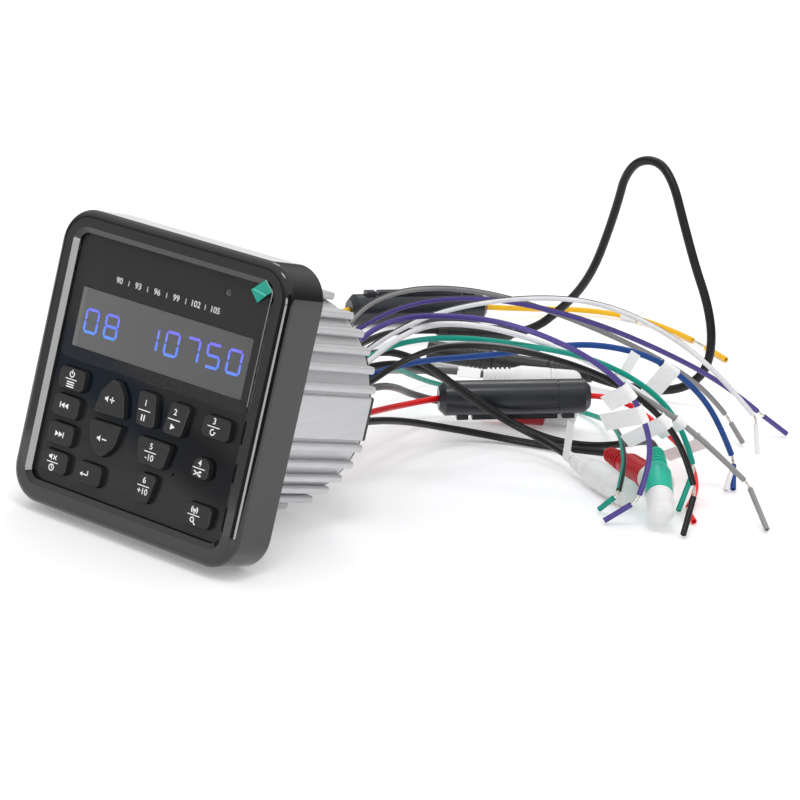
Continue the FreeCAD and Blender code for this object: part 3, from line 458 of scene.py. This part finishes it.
def lit_segment():
    """Back-lit segments, violet at the top of the row and sky blue at its foot."""
    look = Surface("lit_segment")
    up = look.along((0, math.sin(TILT), math.cos(TILT)), -HEAD_ABOVE)
    tone = look.ramp(look.span(up, 0, 1, *GLOW_SPAN), (0.0, (0.075, 0.29, 0.98)),
                     (0.5, (0.11, 0.19, 0.98)), (1.0, (0.17, 0.13, 0.88)))
    grain = look.mottle(look.noise(700, 3), tone, (0.2, 0.4, 1.0), 0.2)
    look.color(grain)
    look.join(grain, look.shader.inputs["Emission Color"])
    look.set(Emission_Strength=0.55, Roughness=0.25)
    return look.material


def clear_sheet(name, color, alpha, roughness):
    """Clear plastic, with faint scuffs."""
    look = Surface(name)
    look.color(look.mottle(look.noise(120, 5), shade(color, 0.9), shade(color, 1.1)))
    look.rough(look.noise(300, 4, (6, 1, 1)), roughness, roughness * 1.8)
    look.set(Alpha=alpha)
    return look.material


def cast_aluminium():
    """Extruded and blasted aluminium: faint lines along the extrusion over a fine sparkle."""
    look = Surface("cast_aluminium")
    lines = look.noise(650, 4, (1, 0.02, 1))
    grit = look.noise(2400, 3)
    tone = look.mottle(look.noise(30, 4, (1, 0.4, 1)), (0.61, 0.61, 0.62), (0.70, 0.70, 0.71))
    look.color(look.mottle(lines, tone, (0.50, 0.50, 0.51), 0.3))
    look.rough(grit, 0.36, 0.55)
    look.set(Metallic=0.45, Specular_IOR_Level=0.5)
    look.bump(look.maths("ADD", lines, grit), 0.35, 0.00004)
    return look.material


def insulation(name, color, stripe=False):
    """Extruded wire insulation, with a printed black stripe on the return leads."""
    look = Surface(name)
    tone = look.mottle(look.noise(60, 3), shade(color, 0.9), shade(color, 1.08))
    if stripe:
        split = look.add("ShaderNodeSeparateXYZ")
        look.join(look.places.outputs["UV"], split.inputs[0])
        printed = look.maths("LESS_THAN", split.outputs["Y"], STRIPE_SHARE)
        tone = look.blend(printed, tone, (0.02, 0.02, 0.022))
    look.color(tone)
    look.rough(look.noise(220, 3), 0.28, 0.42)
    look.bump(look.noise(700, 3), 0.2, 0.00003)
    look.set(Specular_IOR_Level=0.3)
    return look.material


def tinned_copper():
    look = Surface("tinned_copper")
    look.color(look.mottle(look.noise(500, 3), (0.62, 0.58, 0.50), (0.85, 0.83, 0.78)))
    look.rough(look.noise(900, 3), 0.2, 0.38)
    look.set(Metallic=1.0)
    return look.material


def paper():
    look = Surface("paper")
    fibres = look.noise(1500, 6, (1, 0.35, 1))
    look.color(look.mottle(fibres, (0.92, 0.92, 0.91), (0.98, 0.98, 0.975)))
    look.rough(look.noise(300, 3), 0.6, 0.8)
    look.bump(fibres, 0.25, 0.00003)
    return look.material


def dress(material, *nodes):
    """Give CAD nodes their material."""
    for node in nodes:
        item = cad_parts[node]
        item.data.materials.clear()
        item.data.materials.append(material)


# Meshes and curves


def add_piece(name, data, material, *nodes, body="case"):
    """A piece that rides on a body, and stands for the CAD nodes that are named."""
    data.materials.append(material)
    piece = add_object(name, data)
    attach(piece, body)
    if nodes:
        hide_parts(*nodes)
    return piece


def add_shape(name, shape, placing, material, *nodes, body="case"):
    """A mesh piece made of a bmesh."""
    bmesh.ops.recalc_face_normals(shape, faces=shape.faces)
    mesh = bpy.data.meshes.new(name)
    shape.to_mesh(mesh)
    shape.free()
    mesh.transform(placing)
    for face in mesh.polygons:
        face.use_smooth = True
    mesh.set_sharp_from_angle(angle=math.radians(SHARP_ANGLE))
    return add_piece(name, mesh, material, *nodes, body=body)


def new_curve(name, radius, roundness):
    curve = bpy.data.curves.new(name, "CURVE")
    curve.dimensions = "3D"
    curve.bevel_depth = radius * MM
    curve.bevel_resolution = roundness
    return curve


def axis_frame(start, end):
    """Matrix of a piece built in millimetres along Z from start to end, its X side level."""
    low, high = point(*start), point(*end)
    along = (high - low).normalized()
    level = along.cross(Vector((0, 0, 1))).normalized()
    upright = along.cross(level)
    turn = Matrix((level, upright, along)).transposed().to_4x4()
    return Matrix.Translation(low) @ turn @ Matrix.Scale(MM, 4)


def turned(shape, profile, sides=ROUND_SIDES):
    """Add a surface of revolution about Z to a bmesh, from (distance, radius) pairs."""
    angles = [2 * math.pi * step / sides for step in range(sides)]
    rings = []
    for distance, radius in profile:
        places = [(radius * math.cos(a), radius * math.sin(a), distance) for a in angles]
        if radius < ON_AXIS:
            places = [(0, 0, distance)]
        rings.append([shape.verts.new(place) for place in places])
    for low, high in zip(rings, rings[1:]):
        for step in range(sides):
            ahead = (step + 1) % sides
            corners = [ring[number % len(ring)] for ring, number in
                       ((low, step), (low, ahead), (high, ahead), (high, step))]
            corners = list(dict.fromkeys(corners))
            if len(corners) > 2:
                shape.faces.new(corners)


def plate(shape, front, back):
    """Add a closed flat piece to a bmesh, from the corners of its two faces."""
    rings = [[shape.verts.new(corner) for corner in corners] for corners in (front, back)]
    shape.faces.new(rings[0])
    shape.faces.new(rings[1][::-1])
    for step in range(len(front)):
        ahead = (step + 1) % len(front)
        shape.faces.new((rings[0][ahead], rings[0][step], rings[1][step], rings[1][ahead]))


# Cords and what is on them


def add_cord(name, material):
    corners = route(name)
    curve = new_curve(name + "_cord", CORDS[name][0] / 2, CORD_ROUNDNESS)
    curve.resolution_u = CORD_STEPS
    curve.use_fill_caps = True
    spline = curve.splines.new("NURBS")
    spline.points.add(len(corners) - 1)
    for knot, corner in zip(spline.points, corners):
        knot.co = (*corner, 1)
    spline.order_u = SMOOTH_ORDER
    spline.use_endpoint_u = True
    return add_piece(name + "_cord", curve, material, name)


def rib(low, wide, groove):
    """Profile of one rounded rib and the groove after it."""
    ease = RIB_WIDTH * RIB_EASE
    high = low + RIB_WIDTH
    return [(low, groove), (low + ease, wide - ease), (low + 2.5 * ease, wide),
            (high - 2.5 * ease, wide), (high - ease, wide - ease), (high, groove),
            (low + RIB_PITCH, groove)]


def round_end(distance, radius, rounding):
    """Profile of an end that turns in through a quarter circle to the axis."""
    turns = [math.pi / 2 * step / ROUND_STEPS for step in range(ROUND_STEPS + 1)]
    return [(distance - rounding + rounding * math.sin(a),
             radius - rounding + rounding * math.cos(a)) for a in turns] + [(distance, 0)]


def audio_socket(length, radius):
    """Socket along Z: collar on the lead, ribbed neck, flare and barrel, as far as its cap."""
    shape = bmesh.new()
    along, across = COLLAR_EDGE
    profile = [(0, 0), (0, COLLAR_RADIUS - across), (along, COLLAR_RADIUS),
               (COLLAR_LENGTH, COLLAR_RADIUS)]
    for step in range(NECK_RIBS):
        wide = RIB_RADIUS + RIB_GROWTH * step
        profile += rib(COLLAR_LENGTH + step * RIB_PITCH, wide, wide - RIB_DEPTH)
    flare = COLLAR_LENGTH + NECK_RIBS * RIB_PITCH + FLARE_START
    for step in range(FLARE_STEPS + 1):
        share = step / FLARE_STEPS
        ease = share * share * (3 - 2 * share)
        profile.append((flare + FLARE_LENGTH * share,
                        FLARE_RADIUS + (radius - FLARE_RADIUS) * ease))
    back = length - CAP_LENGTH
    profile += [(back - BODY_EDGE, radius), (back, radius - BODY_EDGE), (back, 0)]
    turned(shape, profile)
    return shape


def dust_cap(length, radius):
    """Soft cap along Z on the end of a socket, with a groove behind its lip."""
    shape = bmesh.new()
    low = length - CAP_LENGTH + CAP_INSET
    outer = radius - CAP_INSET
    profile = [(low, 0), (low, outer - CAP_EDGE), (low + CAP_EDGE, outer)]
    profile += [(low + distance, outer - depth) for distance, depth in CAP_GROOVE]
    profile += round_end(length, outer, outer - CAP_FLAT)
    turned(shape, profile)
    return shape


def tip_points(name):
    """End of the insulation, middle of the bare stretch, and start and end of the sleeve."""
    corners = route(name)
    bare = (BARE_YELLOW if name == "lead_yellow_tail" else BARE_LENGTH) * MM
    outward = (corners[-1] - corners[-2]).normalized()
    middle = corners[-1] + outward * bare / 2
    target = point(*SLEEVE_ENDS[name])
    onward = (target - middle).normalized()
    return corners[-1], middle, middle + onward * bare / 2, target


def bare_strand(name, material):
    """Loosely twisted tinned wires between the end of the insulation and the sleeve."""
    end, middle, sleeve = tip_points(name)[:3]
    curve = new_curve(name + "_strand", STRAND_WIRE, STRAND_ROUNDNESS)
    across = (sleeve - end).cross(Vector((0, 0, 1))).normalized()
    above = (sleeve - end).cross(across).normalized()
    for wire in range(STRAND_WIRES):
        spline = curve.splines.new("POLY")
        spline.points.add(STRAND_STEPS)
        for step, knot in enumerate(spline.points):
            share = step / STRAND_STEPS
            place = end.lerp(middle, share).lerp(middle.lerp(sleeve, share), share)
            angle = 2 * math.pi * (wire / STRAND_WIRES + STRAND_TURNS * share)
            swell = STRAND_SWELL[0] + STRAND_SWELL[1] * math.sin(math.pi * share)
            spread = STRAND_SPREAD * MM * swell
            aside = across * math.cos(angle) * spread
            knot.co = (*(place + aside + above * math.sin(angle) * spread), 1)
    return add_piece(name + "_strand", curve, material, "bare_strands")


def tip_sleeve(name, material):
    """Loose sleeve at the end of a bare lead, open at its far end."""
    start, target = tip_points(name)[2:]
    radius = CORDS[name][0] / 2
    length = (target - start).length / MM
    near, far = SLEEVE_EDGES
    bore, bottom = radius * SLEEVE_BORE, length - SLEEVE_DEPTH
    shape = bmesh.new()
    turned(shape, [(0, bore), (0, radius - near), (near, radius), (length - far, radius),
                   (length, radius - far), (length, bore), (bottom, bore), (bottom, 0)],
           SLEEVE_SIDES)
    placing = axis_frame(start / MM, target / MM)
    return add_shape(name + "_sleeve", shape, placing, material, "tip_sleeves")


def add_fittings(wires):
    """What is on the cords. Gives each cord's own pieces by the cord's name."""
    pieces = {name: list(ON_CORDS.get(name, ())) for name in CORDS}
    soft = moulded("cap_plastic", (0.90, 0.885, 0.875), 0.35)
    for name, (start, end, radius) in SOCKETS.items():
        tint = SOCKET_COLORS[name.split("_")[-1]]
        body = moulded(name + "_moulding", tint, 0.38, relief=0.00003, spread=0.05)
        length = (Vector(end) - Vector(start)).length
        placing = axis_frame(start, end)
        socket, cap = audio_socket(length, radius), dust_cap(length, radius)
        pieces[name] += [add_shape(name + "_socket", socket, placing, body, "audio_sockets"),
                         add_shape(name + "_cap", cap, placing, soft, "dust_caps")]
    tin = tinned_copper()
    for name in SLEEVE_ENDS:
        pieces[name] += [bare_strand(name, tin), tip_sleeve(name, wires[name + "_sleeve"])]
    return pieces


def wire_materials():
    """Insulation of each cord, and of the sleeve at the end of each bare lead."""
    wires = {}
    for name in CORDS:
        plain = REAR_LEAD if "rear" in name else BLACK_LEAD
        tint = LEAD_COLORS.get(name.split("_")[1], plain)
        wires[name] = insulation(name + "_insulation", tint, name in STRIPED)
        if name in SLEEVE_ENDS:
            wires[name + "_sleeve"] = insulation(name + "_sleeve", tint)
    return wires


def add_cords():
    wires = wire_materials()
    pieces = add_fittings(wires)
    for name in CORDS:
        add_cord(name, wires[name])


# Print, film and lens on the head's front


def prism(shape, corners, front, back, x=0.0, z=0.0):
    """Add a flat piece to a bmesh in the head's millimetres, from its (x, z) corners in order."""
    plate(shape, *[[(x + across, y, z + up) for across, up in corners] for y in (front, back)])


def leaf(shape, corners, thickness):
    """Add a thin flat piece to a bmesh, from corners in space."""
    plate(shape, corners, [(x, y + thickness, z) for x, y, z in corners])


def raised(shape, corners, x, y, z):
    """Add raised print to a bmesh on the surface at y, from its corners about (x, z)."""
    prism(shape, corners, y - INK, y + INK, x, z)


STROKE = 0.34             # width of a pictogram's lines
BOW_STEPS = 12


def stroke(start, end, width=STROKE):
    """Corners of a straight stroke."""
    low, high = Vector(start), Vector(end)
    ahead = (high - low).normalized() * width / 2
    aside = ahead.orthogonal()
    return [low - ahead + aside, low - ahead - aside, high + ahead - aside, high + ahead + aside]


def bow(radius, low, high, middle=(0, 0)):
    """Corners of a round stroke between two angles in degrees."""
    angles = [math.radians(low + (high - low) * step / BOW_STEPS) for step in range(BOW_STEPS + 1)]
    sides = [[(middle[0] + reach * math.cos(a), middle[1] + reach * math.sin(a)) for a in angles]
             for reach in (radius + STROKE / 2, radius - STROKE / 2)]
    return sides[0] + sides[1][::-1]


def ring(radius, middle=(0, 0)):
    return [bow(radius, 0, 180, middle), bow(radius, 180, 360, middle)]


def arrow(x, way, z=0.0, height=0.8, length=1.35):
    """Corners of a triangle with its point at (x, z), to the left (-1) or to the right (1)."""
    return [(x, z), (x - way * length, z + height), (x - way * length, z - height)]


SPEAKER = [(-1.6, -0.35), (-1.1, -0.35), (-0.45, -0.9), (-0.45, 0.9), (-1.1, 0.35), (-1.6, 0.35)]
PICTOGRAMS = {
    "power": [bow(0.8, 125, 415), stroke((0, 0.2), (0, 1.05))],
    "menu": [stroke((-1.2, z), (1.2, z)) for z in (-0.65, 0, 0.65)],
    "back": [stroke((-1.75, -0.65), (-1.75, 0.65)), arrow(-1.5, -1), arrow(-0.1, -1)],
    "ahead": [stroke((1.75, -0.65), (1.75, 0.65)), arrow(1.5, 1), arrow(0.1, 1)],
    "mute": [SPEAKER, stroke((0.15, -0.5), (1.15, 0.5)), stroke((0.15, 0.5), (1.15, -0.5))],
    "clock": ring(0.85) + [stroke((0, 0), (0, 0.5), 0.24), stroke((0, 0), (0.36, -0.12), 0.24)],
    "louder": [SPEAKER, stroke((0.35, 0), (1.75, 0)), stroke((1.05, -0.7), (1.05, 0.7))],
    "quieter": [SPEAKER, stroke((0.35, 0), (1.75, 0))],
    "enter": [stroke((1.3, 0.8), (1.3, -0.1)), stroke((1.3, -0.25), (-0.5, -0.25)),
              arrow(-1.5, -1, -0.25, 0.65, 1.0)],
    "pause": [stroke((x, -0.65), (x, 0.65), 0.42) for x in (-0.45, 0.45)],
    "play": [arrow(0.85, 1, 0, 0.85, 1.6)],
    "repeat": [bow(0.75, 70, 350), [(0.3, 0.15), (1.2, 0.15), (0.75, -0.45)]],
    "shuffle": [stroke((-1.3, -0.5), (0.5, 0.5)), stroke((-1.3, 0.5), (0.5, -0.5)),
                arrow(1.35, 1, 0.5, 0.42, 0.8), arrow(1.35, 1, -0.5, 0.42, 0.8)],
    "waves": [stroke((0, -0.9), (0, 0.1)), bow(0.5, -50, 50), bow(1.05, -50, 50),
              bow(0.5, 130, 230), bow(1.05, 130, 230)],
    "search": ring(0.6, (-0.2, 0.2)) + [stroke((0.3, -0.3), (0.9, -0.9), 0.4)],
}

# Print on each button: its middle, how far its marks stand from a line between them, the marks
LEGENDS = {
    "power": ((-35.1, -6.8), 1.9, "power", "menu"),
    "previous": ((-35.4, -16.6), 0, "back", None),
    "next": ((-35.6, -27.1), 0, "ahead", None),
    "mute": ((-35.7, -37.6), 1.9, "mute", "clock"),
    "select": ((-19.9, -37.5), 0, "enter", None),
    "volume_up": ((-15.5, -9.2), 0, "louder", None),
    "volume_down": ((-15.3, -23.6), 0, "quieter", None),
    "memory_1": ((1.4, -8.9), 2.6, "1", "pause"),
    "memory_2": ((15.4, -8.6), 2.6, "2", "play"),
    "memory_3": ((33.3, -6.5), 1.9, "3", "repeat"),
    "memory_4": ((30.9, -21.9), 1.8, "4", "shuffle"),
    "memory_5": ((8.0, -22.3), 2.0, "5", "-10"),
    "memory_6": ((8.2, -34.4), 2.0, "6", "+10"),
    "band": ((33.0, -38.0), 1.9, "waves", "search"),
}
LEGEND_LINE = 5.2
LEGEND_SCALE = 1.3
NUMBER_SIZE = 3.1
NUMBER_WEIGHT = 0.04

# Row of numbers over the display
DIAL = ("90", "93", "96", "99", "102", "105")
DIAL_START, DIAL_STEP, DIAL_HEIGHT = -24.6, 9.1, 32.0
TICK_HEIGHT, TICK_WIDTH = 1.6, 0.3

# Digits of the display. Their row rises a little to the right, and has one empty cell.
DIGIT_ROW = "08 10750"
DIGIT_PLACE = (-36.4, 10.9)
DIGIT_PITCH = 9.66
DIGIT_RISE = 0.026
DIGIT_WIDTH, DIGIT_HEIGHT = 5.8, 8.1
SEGMENT_WIDTH, SEGMENT_GAP = 1.0, 0.12
SEGMENTS = {"a": ((0, 2), (1, 2)), "b": ((1, 2), (1, 1)), "c": ((1, 1), (1, 0)),
            "d": ((0, 0), (1, 0)), "e": ((0, 0), (0, 1)), "f": ((0, 1), (0, 2)),
            "g": ((0, 1), (1, 1))}
DIGITS = {"0": "abcdef", "1": "bc", "5": "acdfg", "7": "abc", "8": "abcdefg"}

CORNER_TURNS = range(0, 91, 15)                  # of a round corner, in degrees


def add_text(shape, text, x, y, z):
    """Add plain numbers to a bmesh of the head's front, centred on (x, z)."""
    letters = bpy.data.curves.new("numbers", "FONT")
    letters.body = text
    letters.size = NUMBER_SIZE
    letters.align_x = letters.align_y = "CENTER"
    letters.extrude = INK
    letters.offset = NUMBER_WEIGHT
    holder = bpy.data.objects.new("numbers", letters)
    mesh = bpy.data.meshes.new_from_object(holder)
    mesh.transform(Matrix.Translation((x, y, z)) @ FACING)
    shape.from_mesh(mesh)
    bpy.data.objects.remove(holder)
    bpy.data.meshes.remove(mesh)
    bpy.data.curves.remove(letters)


def add_mark(shape, mark, x, z):
    """Add a pictogram or a number to a button's print, or nothing where there is no mark."""
    if mark in PICTOGRAMS:
        for corners in PICTOGRAMS[mark]:
            larger = [(across * LEGEND_SCALE, up * LEGEND_SCALE) for across, up in corners]
            raised(shape, larger, x, BUTTON_TOP, z)
    elif mark:
        add_text(shape, mark, x, BUTTON_TOP, z)


def add_legends(ink):
    for name, ((x, z), spread, upper, lower) in LEGENDS.items():
        shape = bmesh.new()
        add_mark(shape, upper, x, z + spread)
        add_mark(shape, lower, x, z - spread)
        if lower:
            line = stroke((-LEGEND_LINE / 2, 0), (LEGEND_LINE / 2, 0))
            raised(shape, line, x, BUTTON_TOP, z)
        add_shape("legend_" + name, shape, HEAD, ink, body="button_" + name)


def add_dial(ink):
    """Row of plain numbers over the display, with a tick between each two."""
    shape = bmesh.new()
    tick = stroke((0, -TICK_HEIGHT / 2), (0, TICK_HEIGHT / 2), TICK_WIDTH)
    for step, number in enumerate(DIAL):
        x = DIAL_START + step * DIAL_STEP
        add_text(shape, number, x, PANEL_FRONT, DIAL_HEIGHT)
        if step:
            raised(shape, tick, x - DIAL_STEP / 2, PANEL_FRONT, DIAL_HEIGHT)
    add_shape("dial_print", shape, HEAD, ink)


def segment(start, end):
    """Corners of one display segment, pointed at both ends."""
    low, high = Vector(start), Vector(end)
    ahead = (high - low).normalized()
    aside = ahead.orthogonal() * SEGMENT_WIDTH / 2
    low, high = low + ahead * SEGMENT_GAP, high - ahead * SEGMENT_GAP
    inset = ahead * SEGMENT_WIDTH / 2
    return [low, low + inset + aside, high - inset + aside, high, high - inset - aside,
            low + inset - aside]


def add_digits():
    shape = bmesh.new()
    for cell, digit in enumerate(DIGIT_ROW):
        x = DIGIT_PLACE[0] + cell * DIGIT_PITCH
        z = DIGIT_PLACE[1] + cell * DIGIT_PITCH * DIGIT_RISE
        for name in DIGITS.get(digit, ""):
            ends = [(across * DIGIT_WIDTH,
                     up * DIGIT_HEIGHT / 2 + across * DIGIT_WIDTH * DIGIT_RISE)
                    for across, up in SEGMENTS[name]]
            raised(shape, segment(*ends), x, PANEL_FRONT, z)
    add_shape("display_digits", shape, HEAD, lit_segment())


def rounded(x0, x1, z0, z1, radius):
    """Corners of a rectangle with round corners."""
    corners = []
    for x, z, start in ((x1, z1, 0), (x0, z1, 90), (x0, z0, 180), (x1, z0, 270)):
        across = x - math.copysign(radius, x - (x0 + x1) / 2)
        up = z - math.copysign(radius, z - (z0 + z1) / 2)
        angles = [math.radians(start + turn) for turn in CORNER_TURNS]
        corners += [(across + radius * math.cos(a), up + radius * math.sin(a)) for a in angles]
    return corners


# Film in the head's millimetres: sheet (left, right, low, high), painted highlight on its rim, tab
# and the painted highlight along its fold
FILM = (-45.2, 44.0, 0.2, 45.2)
FILM_ROUNDING = 3.2
FILM_FRONT, FILM_BACK = 2.83, 2.975
HIGHLIGHT_LOW, HIGHLIGHT_HIGH = 3.4, 41.0
HIGHLIGHT_WIDTH, HIGHLIGHT_RISE = 0.16, 0.06
TURNED_UP = (44.0, 2.8, 40.6)
EDGE_HIGHLIGHT_WIDTH, EDGE_HIGHLIGHT_SLOPE, EDGE_HIGHLIGHT_THICK = 0.24, 0.1, 0.1
TAB_LEFT, TAB_RIGHT = (36.3, 1.6, 43.3), (42.6, 1.6, 42.2)
TAB_EDGE, TAB_FOOT = (35.3, 1.9, 42.7), (38.7, 2.5, 38.9)
TAB_TOP, TAB_SIDE = (42.4, -0.3, 47.5), (46.3, -0.3, 44.2)
TAB_THICK = 0.22
FOLD_HIGHLIGHT = ((36.1, 1.5, 43.1), (42.4, 1.5, 41.9), (42.5, 1.5, 42.3), (41.0, 1.5, 42.9),
          (39.4, 1.4, 43.6), (38.9, 1.3, 44.5), (37.7, 1.5, 43.5))
FOLD_HIGHLIGHT_THICK = 0.09


def add_film_piece(name, shape, material):
    add_shape(name, shape, HEAD, material, "protective_film")


def add_film():
    """Clear film over the display, a painted highlight along its rim, and the green pull tab
    folded at the corner, with a painted highlight along its fold.
    """
    shape = bmesh.new()
    prism(shape, rounded(*FILM, FILM_ROUNDING), FILM_FRONT, FILM_BACK)
    add_film_piece("film_sheet", shape, clear_sheet("clear_film", (0.10, 0.10, 0.105), 0.07, 0.06))
    # Painted highlight: a bright strip along the film's right rim and along the edges of its
    # turned-up corner
    shape = bmesh.new()
    outer, inner = FILM[1], FILM[1] - HIGHLIGHT_WIDTH
    prism(shape, [(outer, HIGHLIGHT_LOW), (outer, HIGHLIGHT_HIGH), (inner, HIGHLIGHT_HIGH), (inner, HIGHLIGHT_LOW)],
          FILM_FRONT - HIGHLIGHT_RISE, FILM_BACK)
    for low, high in ((TURNED_UP, TAB_SIDE), (TAB_SIDE, TAB_TOP)):
        leaf(shape, [low, (low[0] + EDGE_HIGHLIGHT_WIDTH, low[1], low[2]),
                     (high[0] + EDGE_HIGHLIGHT_WIDTH, high[1], high[2] + EDGE_HIGHLIGHT_SLOPE), high], EDGE_HIGHLIGHT_THICK)
    add_film_piece("film_painted_highlight", shape, clear_sheet("film_painted_highlight", (0.62, 0.62, 0.63), 0.8, 0.3))
    shape = bmesh.new()
    leaf(shape, (TAB_LEFT, TAB_EDGE, TAB_FOOT, TAB_RIGHT), TAB_THICK)
    leaf(shape, (TAB_LEFT, TAB_RIGHT, TAB_SIDE, TAB_TOP), TAB_THICK)
    green = moulded("green_film", (0.0, 0.36, 0.26), 0.32, 1200, 0.00001, specular=0.3)
    add_film_piece("pull_tab", shape, green)
    # Painted highlight: a light green strip along the tab's fold
    shape = bmesh.new()
    leaf(shape, FOLD_HIGHLIGHT, FOLD_HIGHLIGHT_THICK)
    fold_highlight = moulded("painted_fold_highlight", (0.12, 0.70, 0.60), 0.3, 1200, 0.00001)
    add_film_piece("tab_fold_highlight", shape, fold_highlight)


def add_sensor():
    """Smoked lens of the remote control's receiver, seated in the panel's hole."""
    shape = bmesh.new()
    angles = [math.pi / 2 * step / LENS_STEPS for step in range(LENS_STEPS + 1)]
    dome = [(LENS_CROWN * math.sin(a), LENS_RADIUS * math.cos(a)) for a in angles]
    turned(shape, [(-LENS_DEPTH, 0), (-LENS_DEPTH, LENS_RADIUS)] + dome, LENS_SIDES)
    smoked = moulded("smoked_lens", (0.060, 0.056, 0.058), 0.12, 400, 0.000002, coat=0.6)
    placing = HEAD @ Matrix.Translation((LENS[0], PANEL_FRONT + LENS_SEAT, LENS[1])) @ FACING
    add_shape("sensor_lens", shape, placing, smoked)


def add_front():
    ink = moulded("white_print", (0.93, 0.93, 0.93), 0.45, 1500, 0.000005, 0.02)
    add_legends(ink)
    add_dial(ink)
    add_digits()
    add_film()
    add_sensor()


# Stage, in metres. A brightness of 1 is white.
FLOOR_HALF = 4.0
FLOOR_GLOW, FLOOR_GLOW_IN_GLOSS = 0.2, 0.36
SKY_LOW, SKY_HIGH = 0.16, 0.95                   # in gloss, along the horizon and overhead
SKY_RISE = (0.05, 0.75)                          # heights that its brightness changes between
SKY_EVEN = 0.78                                  # for all that isn't gloss
MIDDLE = (0.02, 0.08, 0.05)
BOARD_ENDS, BOARD_FOOT, BOARD_TOP = ((0.29, -0.23), (0.36, -0.02)), 0.001, 0.25

# Lamps: place, target, width, height and brightness. The cards among them only show in gloss.
LAMPS = {
    "key": ((0.25, -0.25, 1.3), MIDDLE, 0.40, 0.30, 8),
    "rim": ((-0.5, 0.75, 1.0), MIDDLE, 0.30, 0.30, 5),
    "edge_card": ((0.343, -0.535, 0.09), (0, 0, 0.09), 0.28, 0.178, 8),
    "edge_card_top": ((0.343, -0.535, 0.24), (0, 0, 0.09), 0.28, 0.10, 8),
    "front_card": ((-0.66, -0.82, 0.06), (0, 0, 0.06), 0.5, 0.34, 0.58),
}


def add_sheet(name, corners, material):
    """A flat piece with four corners."""
    mesh = bpy.data.meshes.new(name)
    mesh.from_pydata(corners, [], [(0, 1, 2, 3)])
    mesh.materials.append(material)
    return add_object(name, mesh)


def add_floor():
    """White table, whose own glow shows only to the camera and in gloss, and not in shadow."""
    look = Surface("white_table")
    look.color(look.mottle(look.noise(3, 2), (0.91, 0.91, 0.925), (0.93, 0.93, 0.94)))
    ray = look.add("ShaderNodeLightPath")
    seen = look.maths("MULTIPLY", ray.outputs["Is Camera Ray"], FLOOR_GLOW)
    glow = look.maths("MULTIPLY_ADD", ray.outputs["Is Glossy Ray"], FLOOR_GLOW_IN_GLOSS, seen)
    look.join(glow, look.shader.inputs["Emission Strength"])
    look.set(Roughness=0.6, Specular_IOR_Level=0.1, Emission_Color=(1, 1, 1, 1))
    half = FLOOR_HALF
    corners = [(-half, -half, 0), (half, -half, 0), (half, half, 0), (-half, half, 0)]
    add_sheet("floor", corners, look.material)


def add_lamp(name, place, target, width, height, brightness):
    data = bpy.data.lights.new(name, "AREA")
    data.shape = "RECTANGLE"
    data.size = width
    data.size_y = height
    data.energy = brightness * math.pi * width * height
    lamp = add_object(name, data)
    turn = (Vector(target) - Vector(place)).to_track_quat("-Z", "Y").to_matrix().to_4x4()
    lamp.matrix_world = Matrix.Translation(place) @ turn
    lamp.visible_camera = False
    lamp.visible_diffuse = "card" not in name


def add_board():
    """Black board that stands on the floor and only shows in gloss."""
    (left, right), low, high = BOARD_ENDS, BOARD_FOOT, BOARD_TOP
    corners = [(*left, low), (*right, low), (*right, high), (*left, high)]
    felt = moulded("dark_board_felt", (0.006, 0.006, 0.006), 0.9)
    board = add_sheet("dark_board", corners, felt)
    board.visible_camera = board.visible_diffuse = False
    board.visible_shadow = board.visible_transmission = False


def add_world():
    """White to the camera, even in diffuse light, and dim along the horizon in gloss."""
    world = bpy.data.worlds.new("studio")
    bpy.context.scene.world = world
    sky = Nodes(world, "Background")
    split = sky.add("ShaderNodeSeparateXYZ")
    sky.join(sky.add("ShaderNodeTexCoord").outputs["Generated"], split.inputs[0])
    ray = sky.add("ShaderNodeLightPath")
    rise = sky.span(split.outputs["Z"], SKY_LOW, SKY_HIGH, *SKY_RISE, "SMOOTHSTEP")
    even = sky.maths("MULTIPLY_ADD", ray.outputs["Is Glossy Ray"], -SKY_EVEN, SKY_EVEN)
    brighter = sky.maths("MAXIMUM", even, rise)
    brighter = sky.maths("MAXIMUM", brighter, ray.outputs["Is Camera Ray"])
    sky.join(brighter, sky.shader.inputs["Strength"])
    sky.set(Color=(1, 1, 1, 1))


def add_light():
    add_world()
    for name, lamp in LAMPS.items():
        add_lamp(name, *lamp)
    add_board()


# Dressing


def dress_head():
    dress(polished_black(), "front_bezel")
    dress(panel_with_painted_reflection(), "fascia_panel")
    dress(display_pane(), "display_window")
    dress(moulded("display_frame", (0.1, 0.1, 0.1), 0.4), "display_module")
    dress(moulded("silicone", (0.03, 0.03, 0.03), 0.6), "rubber_keypad")
    dress(moulded("solder_mask", (0.02, 0.14, 0.05), 0.3), "front_board", "main_board")
    plate_black = moulded("powder_coat", (0.014, 0.014, 0.014), 0.5, 1500, 0.00004)
    dress(plate_black, "bezel_back_plate")
    dress(cast_aluminium(), "heat_sink")
    dress(moulded("chip_case", (0.02, 0.02, 0.02), 0.5), "amplifier_chip")
    dress(moulded("rear_cover", (0.012, 0.012, 0.013), 0.4, 1200, 0.00003), "rear_cover")
    dress(moulded("soft_rubber", (0.014, 0.014, 0.015), 0.5, 800, 0.00004), "wire_grommet")
    dress(tinned_copper(), "case_screws")
    cap = moulded("button_cap", (0.022, 0.0215, 0.0215), 0.5, 1400, specular=0.32)
    dress(cap, *[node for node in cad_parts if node.startswith("button_")])


def dress_harness():
    holder = moulded("holder_plastic", (0.009, 0.011, 0.018), 0.34, relief=0.00003, coat=0.15)
    dress(holder, "fuse_holders")
    dress(moulded("fuse_glass", (0.5, 0.52, 0.52), 0.1), "fuses")
    black = moulded("black_moulding", (0.008, 0.008, 0.0085), 0.36, relief=0.00003)
    dress(black, "aerial_joint", "aerial_boot", "aerial_socket")
    dress(paper(), "lead_tags")


add_camera()
add_cords()
add_light()
add_floor()
add_front()
dress_head()
dress_harness()
